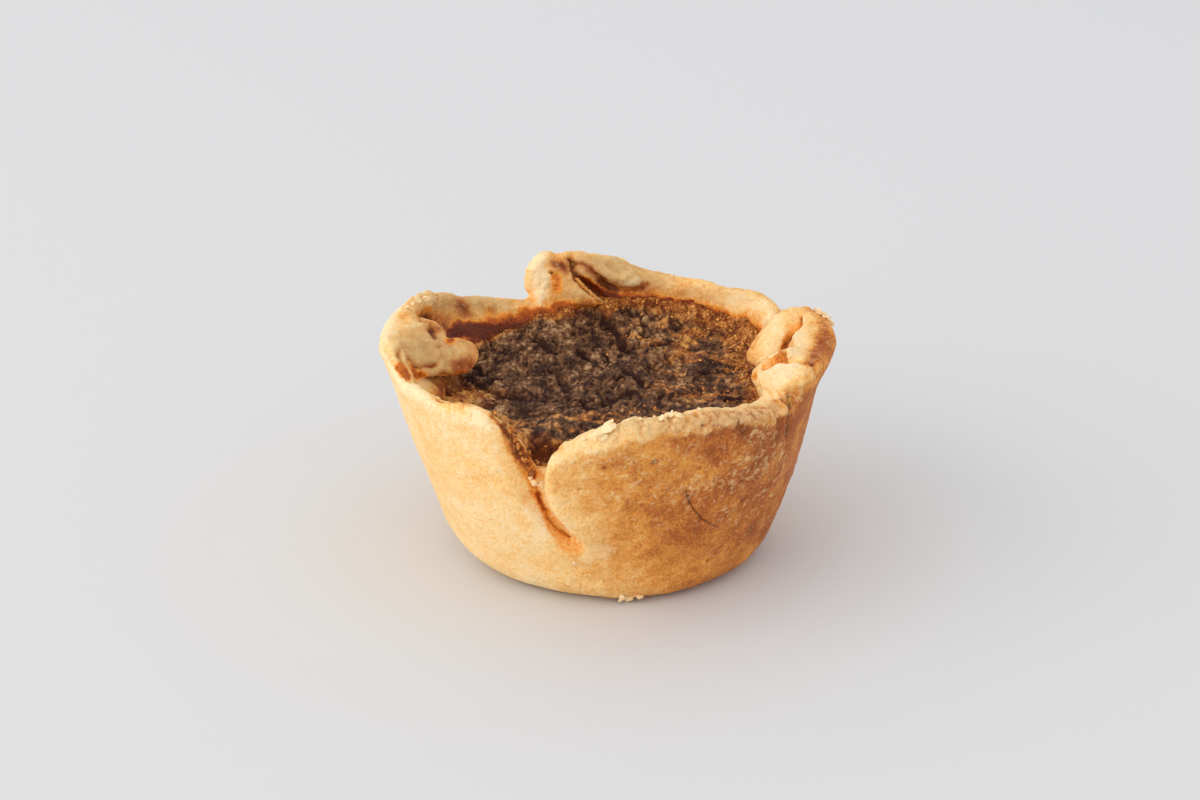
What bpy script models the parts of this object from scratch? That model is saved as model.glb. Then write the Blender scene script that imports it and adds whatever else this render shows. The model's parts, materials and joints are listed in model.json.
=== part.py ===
"""Butter tart: a pastry cup folded by hand into four lobes, with a baked syrup filling.

Metres, +Z up. The tart stands on its flat base, with the origin in the middle of its outline.
The front of the tart, where two lobes of pastry meet in an open notch, faces -Y.
Every length below is in millimetres and every angle in degrees, counted from +X towards +Y.
"""
import bmesh
import bpy
import numpy as np

MM = 0.001

# Pastry cup: the outer wall is a slightly barrelled cone with a rounded foot
FOOT_RADIUS = 25.46
WALL_SLOPE = 0.294
WALL_BARREL = 0.79
WALL_HEIGHT = 36.0
FOOT_OFFSET = 0.8
FOOT_ROUNDING = 5.7
FOOT_ROUNDING_SWING = 2.2
FOOT_ROUNDING_AZIMUTH = 122.0
FLOOR_THICKNESS = 3.4
WALL_THICKNESS = 3.5
INNER_CORNER = 4.0
WALL_WAVE = 0.22
LIP_WAVER = 0.12
LIP_ROUNDNESS = 0.46

# The rim flares out where pastry is folded over at the right and at the left
FLARE_FOOT = 30.0
FLARE_TOP = 36.5
FLARE_WIDTH = 26.0
RIGHT_FLARE = 1.9
RIGHT_FLARE_AZIMUTH = 0.0
LEFT_FLARE = 0.35
LEFT_FLARE_AZIMUTH = 184.0

# Height of the lip round the cup: azimuth and height of each turning point
LIP_HEIGHT = (
    (-180, 37.0), (-172, 37.2), (-165, 36.8), (-159, 35.2), (-154.5, 33.8), (-151.5, 34.6),
    (-139, 34.3), (-128, 34.7), (-122, 34.5), (-118.6, 33.6), (-116, 31.8), (-114, 29.2),
    (-112.4, 26.6), (-110.6, 23.8), (-109.2, 22.4), (-107.3, 22.2), (-106.8, 27.2), (-105.6, 28.6),
    (-103, 29.8), (-99.5, 31.5), (-96, 32.4),
    (-91, 33.6), (-82, 35.2), (-72, 35.5), (-61, 35.3), (-49, 34.1), (-39, 32.7), (-33, 33.2),
    (-26, 35.2), (-14, 37.0), (0, 37.6), (11, 37.6), (17, 37.2), (21, 36.2), (24.5, 33.8),
    (28, 33.4), (33, 34.6), (41, 35.1), (55, 34.6), (68, 34.3), (80, 35.2), (88.6, 37.3),
    (97, 37.8), (103, 37.4), (107, 36.4), (110.5, 33.2), (113, 30.8), (122, 31.7), (136, 33.8),
    (143, 35.3), (151, 36.8), (160, 37.0), (170, 36.8),
)

# Thickness of the lip round the cup: thin where a lobe ends, wide where pastry is folded over
LIP_THICKNESS = (
    (-180, 3.4), (-166, 3.2), (-158, 2.8), (-154, 2.0), (-148, 2.0), (-139, 2.8), (-125, 3.8), (-115, 3.2),
    (-108, 2.6), (-103.5, 3.8), (-95, 4.8), (-60, 4.8), (-45, 5.0), (-30, 5.4), (0, 5.6),
    (16, 5.4), (28, 4.6), (45, 5.0), (68, 4.8), (80, 4.0), (90, 3.6), (104, 3.8), (111, 4.4),
    (122, 4.0), (136, 4.2), (158, 3.8),
)

# Thickness of the crust at the filling's edge, where the inner side of each lobe reaches inwards
LEDGE_THICKNESS = (
    (-172, 8.0), (-160, 6.2), (-150, 4.6), (-120, 4.2), (-105, 3.8), (-80, 4.6), (-55, 5.0),
    (-40, 6.5), (-25, 8.5), (0, 9.0), (20, 8.4), (32, 5.6), (48, 4.4), (72, 4.6), (90, 5.2),
    (106, 6.2), (120, 7.0), (147, 7.2), (165, 7.8),
)
LEDGE_FOOT = 19.0
LEDGE_TOP = 27.5
LIP_BACK = 33.0

# Front seam: a slit that runs down from the notch between the two front lobes
SEAM_AZIMUTH = -107.0
SEAM_FOOT_AZIMUTH = -97.0
SEAM_FOOT = 10.5
SEAM_FADE = 4.5
SEAM_TOP = 20.5
SEAM_SPREAD = 20.0
SEAM_DEPTH = 2.6
SEAM_WIDTH_LOW = 8.0
SEAM_WIDTH_HIGH = 15.0
SEAM_FLAT_SHARE = 0.30
SEAM_SWELL = 1.4
SEAM_SWELL_WIDTH = 12.0
EAR_PROUD = 1.1
EAR_WIDTH = 15.0
EAR_EDGE = 1.5
EAR_EDGE_DROP = 1.7

# Right seam: a shallow crease below the right-hand fold
RIGHT_SEAM_AZIMUTH = -39.5
RIGHT_SEAM_DEPTH = 0.7
RIGHT_SEAM_WIDTH = 1.3
RIGHT_SEAM_FOOT = 26.5
RIGHT_SEAM_FADE = 4.0

# Filling: surface height, its rise to the right and back, and the ring where it meets the crust
FILLING_HEIGHT = 27.8
FILLING_RISE = 1.0
FILLING_RISE_AZIMUTH = 50.0
FILLING_RING = 2.1
FILLING_RING_LEAST = 0.15
FILLING_RING_AZIMUTH = 52.0
FILLING_LUMP = 0.38
FILLING_LEVELS = (7.8, 20.0, 25.0)
FILLING_REACH = 1.2
GAP = 0.30

# The filling runs down into the notch at the front
NOTCH_AZIMUTH = -110.0
NOTCH_WIDTH = 10.0
NOTCH_DROP = 4.2
NOTCH_START = 22.0
NOTCH_END = 30.5

# How much wider a flap and longer a roll becomes for each millimetre it is swollen
FLAP_SPREAD = 0.28
ROLL_SPREAD = 0.10

# Mesh resolution
AROUND = 96
FILLING_AROUND = 72
FILLING_RINGS = 11
FOOT_RINGS = 4
WALL_RINGS = 8
LIP_RINGS = 7
INNER_RINGS = 9


def smoothstep(low, high, value):
    """Return a smooth ramp from 0 at low to 1 at high."""
    t = np.clip((value - low) / (high - low), 0.0, 1.0)
    return t * t * (3.0 - 2.0 * t)


def bell(value, width):
    """Return a bell curve, 1 at zero."""
    return np.exp(-(value / width) ** 2)


def turn(angle, centre):
    """Return the signed angle from centre, in degrees between -180 and 180."""
    return (angle - centre + 180.0) % 360.0 - 180.0


def round_table(table, angle, blur=1.2):
    """Read a table of azimuth and value, joined by straight runs and softened over a few degrees."""
    azimuth, value = np.array(table, dtype=float).T
    total = np.zeros_like(angle, dtype=float)
    offsets = (-1.5, -0.75, 0.0, 0.75, 1.5)
    for offset in offsets:
        total += np.interp(angle + offset * blur, azimuth, value, period=360.0)
    return total / len(offsets)


def seam_azimuth(height):
    """Return the azimuth of the front seam at a height: it leans right as it goes down."""
    return SEAM_AZIMUTH + (SEAM_FOOT_AZIMUTH - SEAM_AZIMUTH) * (1.0 - smoothstep(SEAM_FOOT, SEAM_TOP, height))


def true_azimuth(angle, height):
    """Bend the mesh's upright lines so that one of them follows the front seam."""
    lean = seam_azimuth(height) - SEAM_AZIMUTH
    return angle + lean * bell(turn(angle, SEAM_AZIMUTH), SEAM_SPREAD)


def wall_relief(angle, height):
    """Return how far the outer wall stands out or in: seams, the overlapping ear and soft waves."""
    side = turn(angle, SEAM_AZIMUTH)
    alive = smoothstep(SEAM_FOOT, SEAM_FOOT + SEAM_FADE, height)
    width = SEAM_WIDTH_LOW + (SEAM_WIDTH_HIGH - SEAM_WIDTH_LOW) * smoothstep(16.0, 32.0, height)
    left = -SEAM_DEPTH * smoothstep(-1.0, -SEAM_FLAT_SHARE, side / width)
    right = EAR_PROUD * bell(side, EAR_WIDTH) - EAR_EDGE_DROP * bell(side, EAR_EDGE)
    seam = alive * np.where(side < 0.0, left, right)
    crease_side = turn(angle, RIGHT_SEAM_AZIMUTH)
    crease = -RIGHT_SEAM_DEPTH * bell(crease_side, RIGHT_SEAM_WIDTH)
    crease = crease * smoothstep(RIGHT_SEAM_FOOT, RIGHT_SEAM_FOOT + RIGHT_SEAM_FADE, height)
    radians = np.radians(angle)
    wave = np.sin(3.0 * radians + 0.9 + 0.08 * height) + 0.6 * np.sin(5.0 * radians + 2.1 - 0.11 * height)
    flare = RIGHT_FLARE * bell(turn(angle, RIGHT_FLARE_AZIMUTH), FLARE_WIDTH)
    flare = flare + LEFT_FLARE * bell(turn(angle, LEFT_FLARE_AZIMUTH), FLARE_WIDTH)
    flare = flare * smoothstep(FLARE_FOOT, FLARE_TOP, height)
    return seam + crease + flare + WALL_WAVE * wave * smoothstep(2.0, 14.0, height)


def plain_radius(height):
    """Return the radius of the wall's plain barrelled cone."""
    barrel = np.sin(np.pi * np.clip(height / WALL_HEIGHT, 0.0, 1.0))
    return FOOT_RADIUS + WALL_SLOPE * height + WALL_BARREL * barrel


def outer_radius(angle, height):
    """Return the radius of the outer wall, without the rounding of its foot."""
    return plain_radius(height) + wall_relief(angle, height)


def inner_radius(angle, height):
    """Return the radius of the cup's inner wall, which reaches inwards at the filling's edge."""
    lip = round_table(LIP_THICKNESS, angle)
    ledge = round_table(LEDGE_THICKNESS, angle, blur=3.0)
    thickness = WALL_THICKNESS + (ledge - WALL_THICKNESS) * smoothstep(LEDGE_FOOT, LEDGE_TOP, height)
    thickness = thickness + (lip - ledge) * smoothstep(LEDGE_TOP, LIP_BACK, height)
    side = turn(angle, SEAM_AZIMUTH)
    swell = SEAM_SWELL * bell(side, SEAM_SWELL_WIDTH) * (1.0 - smoothstep(20.0, 27.0, height))
    return plain_radius(height) - thickness - swell


def foot_rounding(angle):
    """Return the radius of the rounded foot, largest at the back left."""
    return FOOT_ROUNDING + FOOT_ROUNDING_SWING * np.cos(np.radians(turn(angle, FOOT_ROUNDING_AZIMUTH)))


def around_angles():
    """Return the azimuths of the mesh's upright lines, closer together at the front seam."""
    even = np.arange(AROUND) * 360.0 / AROUND - 180.0
    close = SEAM_AZIMUTH + np.array((-9.0, -6.4, -4.4, -2.8, -1.5, -0.55, 0.0, 0.7, 1.6, 3.0, 5.0, 7.6))
    far = np.array([a for a in even if abs(turn(a, SEAM_AZIMUTH + 0.5)) > 10.5])
    return np.sort(np.concatenate((far, close)))


def sideways(grow):
    """Return the azimuth offsets that swell the cup sideways by grow."""
    reach = 1.6 * np.degrees(grow / FOOT_RADIUS)
    return np.array((-1.0, -0.5, 0.0, 0.5, 1.0)) * reach


def lip_height(angle, grow):
    """Return the height of the lip, swollen up and sideways by grow, with a slight waver."""
    level = np.max([round_table(LIP_HEIGHT, angle + offset) for offset in sideways(grow)], axis=0)
    radians = np.radians(angle)
    waver = np.sin(11.0 * radians + 0.6) + 0.8 * np.sin(17.0 * radians + 2.0) + 0.5 * np.sin(6.0 * radians)
    return level + LIP_WAVER * waver + grow


def cup_rings(grow=0.0):
    """Return the cup's rings from the middle of its base, up the outside and down the inside.

    With grow the cup is swollen by that much all over, to cut a clear gap into its neighbour.
    """
    angle = around_angles()
    rounding = foot_rounding(angle)
    lip_top = lip_height(angle, grow)
    lip_depth = round_table(LIP_THICKNESS, angle) + 2.0 * grow
    lip_rise = LIP_ROUNDNESS * lip_depth
    shoulder = lip_top - lip_rise
    rings = []

    def outside(height):
        return np.max([outer_radius(angle + offset, height) for offset in sideways(grow)], axis=0) + grow

    def inside(height):
        return np.min([inner_radius(angle + offset, height) for offset in sideways(grow)], axis=0) - grow

    def add(radius, height):
        azimuth = np.radians(true_azimuth(angle, height))
        offset = FOOT_OFFSET * (1.0 - height / WALL_HEIGHT)
        rings.append(np.stack((radius * np.cos(azimuth) + offset, radius * np.sin(azimuth), height), axis=1))

    foot = FOOT_RADIUS - rounding
    zero = np.zeros_like(angle)
    add(0.45 * foot, zero)
    for step in range(FOOT_RINGS + 1):
        sweep = np.radians(90.0 * step / FOOT_RINGS)
        height = rounding * (1.0 - np.cos(sweep))
        add(outside(height) - rounding * (1.0 - np.sin(sweep)), height)
    for step in range(1, WALL_RINGS + 1):
        height = rounding + (shoulder - rounding) * step / WALL_RINGS
        add(outside(height), height)
    edge_out = outside(shoulder)
    edge_in = inside(shoulder)
    middle = 0.5 * (edge_out + edge_in)
    half = 0.5 * (edge_out - edge_in)
    for step in range(1, LIP_RINGS):
        sweep = np.radians(180.0 * step / LIP_RINGS)
        add(middle + half * np.cos(sweep), shoulder + lip_rise * np.sin(sweep))
    floor = FLOOR_THICKNESS + grow
    for step in range(INNER_RINGS):
        height = shoulder + (floor + INNER_CORNER - shoulder) * step / (INNER_RINGS - 1)
        add(inside(height), height)
    for share in (0.5, 1.0):
        sweep = np.radians(90.0 * share)
        height = zero + floor + INNER_CORNER * (1.0 - np.sin(sweep))
        add(inside(height) - INNER_CORNER * (1.0 - np.cos(sweep)), height)
    return rings


def ring_mesh(rings, first_pole, last_pole):
    """Join rings of equal length into a closed skin with a pole at each end."""
    count = len(rings[0])
    points = np.concatenate(rings + [np.array([first_pole, last_pole], dtype=float)])
    here = np.arange(count)
    after = (here + 1) % count
    faces = []
    for level in range(len(rings) - 1):
        low = level * count
        high = low + count
        faces.extend(np.stack((low + here, low + after, high + after, high + here), axis=1).tolist())
    bottom = len(rings) * count
    top = bottom + 1
    last = (len(rings) - 1) * count
    faces.extend(np.stack((after, here, np.full(count, bottom)), axis=1).tolist())
    faces.extend(np.stack((last + here, last + after, np.full(count, top)), axis=1).tolist())
    return points, faces


def bernstein(order, t):
    """Return the Bernstein weights of an order at each t, one column a control point."""
    weights = [np.ones_like(t)]
    for _ in range(order):
        longer = [weights[0] * (1.0 - t)]
        for index in range(1, len(weights)):
            longer.append(weights[index] * (1.0 - t) + weights[index - 1] * t)
        longer.append(weights[-1] * t)
        weights = longer
    return np.stack(weights, axis=1)


def flap(control, thickness, grow=0.0, across=9, along=9, corner=0.55):
    """Make a soft-edged flap of dough: a curved sheet through a grid of control points.

    The sheet is a tensor-product Bezier surface. Its plan has rounded corners, and its thickness
    swells from nothing at the edge to the full value a little way in. With grow it is thicker by
    that much on each face and reaches further out all round.
    """
    grid = np.array(control, dtype=float)
    wider = 1.0 + grow * FLAP_SPREAD
    s = -np.cos(np.pi * np.arange(across + 1) / across)
    t = -np.cos(np.pi * np.arange(along + 1) / along)
    s, t = np.meshgrid(s, t, indexing="ij")
    plan_s = wider * s * np.sqrt(1.0 - corner * t * t / 2.0)
    plan_t = wider * t * np.sqrt(1.0 - corner * s * s / 2.0)

    def sheet(a, b):
        first = bernstein(grid.shape[0] - 1, 0.5 + 0.5 * a.ravel())
        second = bernstein(grid.shape[1] - 1, 0.5 + 0.5 * b.ravel())
        return np.einsum("pi,pj,ijk->pk", first, second, grid).reshape(a.shape + (3,))

    step = 1e-3
    normal = np.cross(sheet(plan_s + step, plan_t) - sheet(plan_s - step, plan_t),
                      sheet(plan_s, plan_t + step) - sheet(plan_s, plan_t - step))
    normal /= np.linalg.norm(normal, axis=2, keepdims=True)
    swell = np.sqrt(np.clip((1.0 - s ** 4) * (1.0 - t ** 4), 0.0, 1.0))
    half = (0.5 * thickness + grow) * swell[..., None] * normal
    centre = sheet(plan_s, plan_t)
    above = (centre + half).reshape(-1, 3)
    below = (centre - half)[1:-1, 1:-1].reshape(-1, 3)
    upper = np.arange((across + 1) * (along + 1)).reshape(across + 1, along + 1)
    lower = upper.copy()
    lower[1:-1, 1:-1] = len(above) + np.arange((across - 1) * (along - 1)).reshape(across - 1, along - 1)
    faces = []
    for skin, flip in ((upper, False), (lower, True)):
        quads = np.stack((skin[:-1, :-1], skin[1:, :-1], skin[1:, 1:], skin[:-1, 1:]), axis=-1).reshape(-1, 4)
        if flip:
            quads = quads[:, ::-1]
        faces.extend(quads.tolist())
    return np.concatenate((above, below)), faces


def roll(path, radii, grow=0.0, around=10, along=14):
    """Make a soft roll of dough: a round section carried along a smooth path, with domed ends."""
    knots = np.array(path, dtype=float)
    sizes = np.array(radii, dtype=float)
    order = len(knots) - 1
    share = 0.5 - 0.5 * np.cos(np.pi * np.arange(along + 1) / along)
    spare = grow * ROLL_SPREAD
    t = share * (1.0 + 2.0 * spare) - spare
    weights = bernstein(order, t)
    centre = weights @ knots
    size = weights @ sizes + grow
    tangent = bernstein(order, t + 1e-3) @ knots - bernstein(order, t - 1e-3) @ knots
    tangent /= np.linalg.norm(tangent, axis=1, keepdims=True)
    side = np.cross(tangent, (0.0, 0.0, 1.0))
    side /= np.linalg.norm(side, axis=1, keepdims=True)
    lift = np.cross(side, tangent)
    dome = np.sqrt(np.clip(1.0 - np.abs(2.0 * share - 1.0) ** 5, 0.0, 1.0))
    rings = []
    for index in range(1, along):
        sweep = 2.0 * np.pi * np.arange(around) / around
        circle = np.cos(sweep)[:, None] * side[index] + np.sin(sweep)[:, None] * lift[index]
        rings.append(centre[index] + size[index] * dome[index] * circle)
    return ring_mesh(rings, centre[0], centre[-1])


def back_folds(grow=0.0):
    """Return the folds at the back: a turned-in triangular flap and the thick roll behind it."""
    triangle = (
        ((-12.2, 33.6, 36.0), (-12.4, 32.0, 33.0), (-11.6, 29.0, 29.0)),
        ((-9.0, 33.6, 37.0), (-8.0, 30.6, 33.8), (-5.2, 27.4, 29.0)),
        ((-6.3, 33.8, 36.9), (-5.2, 28.6, 33.6), (1.4, 27.7, 30.2)),
    )
    head = ((-12.0, 31.4, 30.4), (-12.4, 32.6, 36.4), (-8.4, 34.2, 36.2))
    long_roll = ((-6.0, 33.4, 36.2), (-2.6, 32.8, 36.0), (1.5, 30.9, 33.8), (6.6, 29.8, 33.4))
    return [
        flap(triangle, 1.9, grow, across=8, along=9, corner=0.30),
        roll(head, (2.3, 2.3, 1.7), grow, along=10),
        roll(long_roll, (1.3, 1.6, 1.6, 1.5), grow),
    ]


def left_folds(grow=0.0):
    """Return the folds at the left: a tongue of dough pressed down on the filling, and the panel behind."""
    tongue = (
        ((-35.1, -3.4, 36.2), (-34.5, -7.0, 35.6), (-33.5, -9.0, 34.2)),
        ((-31.1, 0.6, 35.0), (-30.9, -4.9, 34.6), (-30.5, -8.0, 32.0)),
        ((-25.9, 4.8, 33.0), (-26.0, -0.8, 32.8), (-26.5, -5.6, 30.4)),
        ((-21.4, 8.6, 31.2), (-19.8, 3.5, 30.8), (-21.3, -1.0, 29.2)),
    )
    panel = (
        ((-33.9, 6.8, 36.2), (-33.4, 1.6, 36.6), (-33.2, -4.0, 35.8)),
        ((-30.2, 9.8, 35.2), (-29.6, 4.6, 35.4), (-29.2, -1.0, 34.4)),
        ((-28.2, 11.6, 32.6), (-26.2, 8.0, 33.0), (-25.4, 3.0, 32.2)),
    )
    return [
        flap(tongue, 2.4, grow, across=9, along=8, corner=0.4),
        flap(panel, 2.2, grow, across=7, along=7, corner=0.6),
    ]


def right_folds(grow=0.0):
    """Return the folds at the right: a leaf of dough, the broad cap over it and a small lip."""
    leaf = (
        ((29.6, 13.6, 35.0), (31.6, 10.6, 37.6), (33.0, 8.0, 36.6)),
        ((27.2, 11.2, 32.8), (28.9, 6.2, 36.6), (30.9, 3.6, 34.6)),
        ((24.4, 7.6, 31.0), (26.4, 1.8, 34.8), (28.9, -0.9, 32.6)),
        ((22.4, 3.4, 29.4), (23.9, -0.6, 31.4), (26.0, -2.6, 30.2)),
    )
    cap = (
        ((22.8, -8.6, 31.0), (23.4, -12.0, 33.4), (24.4, -16.4, 31.8)),
        ((27.4, -4.0, 35.2), (28.2, -10.4, 38.4), (28.8, -18.4, 34.6)),
        ((33.8, -5.8, 35.0), (35.4, -10.6, 36.6), (33.6, -16.8, 34.2)),
    )
    small_lip = ((24.8, -13.4, 30.6), (25.2, -14.2, 33.8), (27.2, -17.4, 34.0), (28.3, -19.0, 31.8))
    return [
        flap(leaf, 2.4, grow, across=10, along=7, corner=0.5),
        flap(cap, 3.2, grow, across=8, along=8, corner=0.7),
        roll(small_lip, (1.2, 1.5, 1.5, 1.2), grow, around=8, along=10),
    ]


def folds(grow=0.0):
    """Return every fold of the rim."""
    return back_folds(grow) + left_folds(grow) + right_folds(grow)


def cup(grow=0.0):
    """Return the cup's closed skin."""
    offset = FOOT_OFFSET
    return ring_mesh(cup_rings(grow), (offset, 0.0, 0.0), (offset, 0.0, FLOOR_THICKNESS + grow))


def filling_height(x, y):
    """Return the height of the filling's surface.

    It rises slowly to the back right, has a raised ring at its edge and runs down into the notch.
    """
    radius = np.hypot(x, y)
    azimuth = np.degrees(np.arctan2(y, x))
    heading = np.radians(FILLING_RISE_AZIMUTH)
    rise = FILLING_RISE * (x * np.cos(heading) + y * np.sin(heading)) / 30.0
    facing = np.cos(np.radians(turn(azimuth, FILLING_RING_AZIMUTH)))
    strength = FILLING_RING_LEAST + (1.0 - FILLING_RING_LEAST) * smoothstep(0.15, 0.85, facing)
    ring = FILLING_RING * strength * smoothstep(0.80, 1.02, radius / 30.5)
    lumps = np.sin(0.31 * x + 1.3 * np.sin(0.17 * y)) * np.cos(0.27 * y + 0.4)
    lumps += 0.6 * np.sin(0.52 * x - 0.33 * y + 1.0)
    lumps += 0.7 * np.sin(0.86 * x + 0.45 * y) * np.sin(0.80 * y - 0.52 * x + 0.7)
    drop = NOTCH_DROP * bell(turn(azimuth, NOTCH_AZIMUTH), NOTCH_WIDTH)
    drop = drop * smoothstep(NOTCH_START, NOTCH_END, radius)
    return FILLING_HEIGHT + rise + ring - drop + FILLING_LUMP * lumps


def filling_body():
    """Return the filling before it is trimmed: it reaches a little way into the crust all round."""
    angle = np.arange(FILLING_AROUND) * 360.0 / FILLING_AROUND - 180.0
    radians = np.radians(angle)
    rings = []

    def add(radius, height):
        offset = FOOT_OFFSET * (1.0 - height / WALL_HEIGHT)
        rings.append(np.stack((radius * np.cos(radians) + offset, radius * np.sin(radians), height), axis=1))

    bottom = np.zeros_like(angle) + FLOOR_THICKNESS - FILLING_REACH
    add(inner_radius(angle, bottom + INNER_CORNER) - 0.5 * INNER_CORNER, bottom)
    for level in FILLING_LEVELS:
        height = np.zeros_like(angle) + level
        add(inner_radius(angle, height) + FILLING_REACH, height)
    height = np.zeros_like(angle) + FILLING_HEIGHT
    for _ in range(4):
        edge = inner_radius(angle, height) + FILLING_REACH
        height = filling_height(edge * np.cos(radians), edge * np.sin(radians))
    for step in range(FILLING_RINGS):
        radius = edge * (1.0 - (step / FILLING_RINGS) ** 1.25)
        add(radius, filling_height(radius * np.cos(radians), radius * np.sin(radians)))
    top = filling_height(np.zeros(1), np.zeros(1))[0]
    return ring_mesh(rings, (0.0, 0.0, bottom[0]), (0.0, 0.0, top))


def make_object(name, shape, collection=None):
    """Make a mesh object from points in millimetres and faces."""
    points, faces = shape
    mesh = bpy.data.meshes.new(name)
    mesh.from_pydata((points * MM).tolist(), [], faces)
    mesh.update()
    obj = bpy.data.objects.new(name, mesh)
    (collection or bpy.context.scene.collection).objects.link(obj)
    return obj


def faces_outward(obj):
    """Turn the faces round where the mesh encloses a negative volume."""
    mesh = obj.data
    mesh.calc_loop_triangles()
    corners = np.empty(len(mesh.loop_triangles) * 3, dtype=np.int32)
    mesh.loop_triangles.foreach_get("vertices", corners)
    spots = np.empty(len(mesh.vertices) * 3)
    mesh.vertices.foreach_get("co", spots)
    a, b, c = spots.reshape(-1, 3)[corners.reshape(-1, 3)].transpose(1, 0, 2)
    if np.einsum("ij,ij->", a, np.cross(b, c)) < 0.0:
        mesh.flip_normals()
    mesh.update()


def keep_result(obj):
    """Replace the object's mesh by its evaluated mesh and clear its modifiers."""
    depsgraph = bpy.context.evaluated_depsgraph_get()
    result = bpy.data.meshes.new_from_object(obj.evaluated_get(depsgraph))
    obj.modifiers.clear()
    obj.data = result


def boolean_with(obj, shapes, operation, solver="EXACT"):
    """Join the shapes to the object, or cut them from it, with one Boolean on a collection."""
    group = bpy.data.collections.new("helpers")
    bpy.context.scene.collection.children.link(group)
    for index, shape in enumerate(shapes):
        faces_outward(make_object("helper_%d" % index, shape, group))
    modifier = obj.modifiers.new("fold", "BOOLEAN")
    modifier.operation = operation
    modifier.operand_type = "COLLECTION"
    modifier.collection = group
    modifier.solver = solver
    keep_result(obj)
    for helper in list(group.objects):
        bpy.data.objects.remove(helper)
    bpy.data.collections.remove(group)


def drop_scraps(obj):
    """Keep only the largest connected body of the mesh."""
    mesh = obj.data
    edges = np.empty(len(mesh.edges) * 2, dtype=np.int32)
    mesh.edges.foreach_get("vertices", edges)
    a, b = edges.reshape(-1, 2).T
    body = np.arange(len(mesh.vertices))
    settled = False
    while not settled:
        least = np.minimum(body[a], body[b])
        before = body.copy()
        np.minimum.at(body, a, least)
        np.minimum.at(body, b, least)
        settled = np.array_equal(before, body)
    largest = np.bincount(body).argmax()
    editable = bmesh.new()
    editable.from_mesh(mesh)
    scraps = [vertex for vertex, label in zip(editable.verts, body) if label != largest]
    bmesh.ops.delete(editable, geom=scraps, context="VERTS")
    editable.to_mesh(mesh)
    editable.free()
    mesh.update()


def finish(obj, colour, roughness):
    """Give the object its material and smooth shading."""
    material = bpy.data.materials.new(obj.name)
    material.use_nodes = True
    shader = material.node_tree.nodes["Principled BSDF"]
    shader.inputs["Base Color"].default_value = (*colour, 1.0)
    shader.inputs["Roughness"].default_value = roughness
    shader.inputs["Metallic"].default_value = 0.0
    obj.data.materials.clear()
    obj.data.materials.append(material)
    obj.data.shade_smooth()


def centre_outline(objects):
    """Move the whole tart so that its outline is centred on the origin."""
    low = np.full(3, np.inf)
    high = np.full(3, -np.inf)
    for obj in objects:
        spots = np.empty(len(obj.data.vertices) * 3)
        obj.data.vertices.foreach_get("co", spots)
        low = np.minimum(low, spots.reshape(-1, 3).min(axis=0))
        high = np.maximum(high, spots.reshape(-1, 3).max(axis=0))
    middle = 0.5 * (low + high)
    middle[2] = low[2]
    for obj in objects:
        spots = np.empty(len(obj.data.vertices) * 3)
        obj.data.vertices.foreach_get("co", spots)
        obj.data.vertices.foreach_set("co", (spots.reshape(-1, 3) - middle).ravel())
        obj.data.update()
    print("outline moved by", np.round(-middle / MM, 3), "mm, size", np.round((high - low) / MM, 2), "mm")


def build():
    """Build the crust and the filling."""
    for obj in list(bpy.data.objects):
        bpy.data.objects.remove(obj)
    crust = make_object("crust", cup())
    faces_outward(crust)
    boolean_with(crust, folds(), "UNION")
    filling = make_object("filling", filling_body())
    faces_outward(filling)
    boolean_with(filling, [cup(GAP)] + folds(GAP), "DIFFERENCE", "MANIFOLD")
    drop_scraps(filling)
    finish(crust, (0.80, 0.53, 0.27), 0.62)
    finish(filling, (0.075, 0.036, 0.018), 0.5)
    centre_outline([crust, filling])


build()
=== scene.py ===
"""Butter tart: the pastry cup, its baked syrup filling and their crumbs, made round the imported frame.

Lengths in the shape functions are millimetres. Angles are degrees counted from +X towards +Y, and the
open notch between the two front lobes faces -Y. FRAME_SHIFT carries the cup's own middle into the
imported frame, where everything is in metres.
"""
import json

import bpy
import numpy as np
from bpy.props import FloatProperty, FloatVectorProperty, IntProperty, PointerProperty
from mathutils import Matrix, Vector

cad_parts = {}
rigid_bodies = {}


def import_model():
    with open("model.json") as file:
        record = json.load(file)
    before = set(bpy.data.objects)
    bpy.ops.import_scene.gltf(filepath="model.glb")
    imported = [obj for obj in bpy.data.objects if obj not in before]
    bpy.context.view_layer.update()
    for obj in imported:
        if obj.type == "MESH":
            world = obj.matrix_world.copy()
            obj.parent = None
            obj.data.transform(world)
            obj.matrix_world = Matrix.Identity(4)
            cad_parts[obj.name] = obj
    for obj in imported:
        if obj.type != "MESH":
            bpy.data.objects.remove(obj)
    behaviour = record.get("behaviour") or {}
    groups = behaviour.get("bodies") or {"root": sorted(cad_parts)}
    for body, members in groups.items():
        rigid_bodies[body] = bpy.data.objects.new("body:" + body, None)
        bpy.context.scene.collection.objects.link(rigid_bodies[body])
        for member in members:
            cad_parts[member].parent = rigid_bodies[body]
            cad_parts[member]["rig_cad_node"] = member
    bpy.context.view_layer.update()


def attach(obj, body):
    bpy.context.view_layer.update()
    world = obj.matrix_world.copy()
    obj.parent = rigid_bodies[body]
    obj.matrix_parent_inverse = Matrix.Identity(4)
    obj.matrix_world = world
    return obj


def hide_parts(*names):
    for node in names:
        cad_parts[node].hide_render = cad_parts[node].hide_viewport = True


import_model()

bl_info = {
    "name": "Butter tart",
    "version": (1, 0, 0),
    "blender": (4, 5, 0),
    "location": "3D View > Sidebar > Tart",
    "description": "Makes a hand-folded pastry tart with a baked syrup filling",
    "category": "Add Mesh",
}

MM = 0.001
FRAME_SHIFT = np.array((-0.435, -0.478, 0.0))

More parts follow.
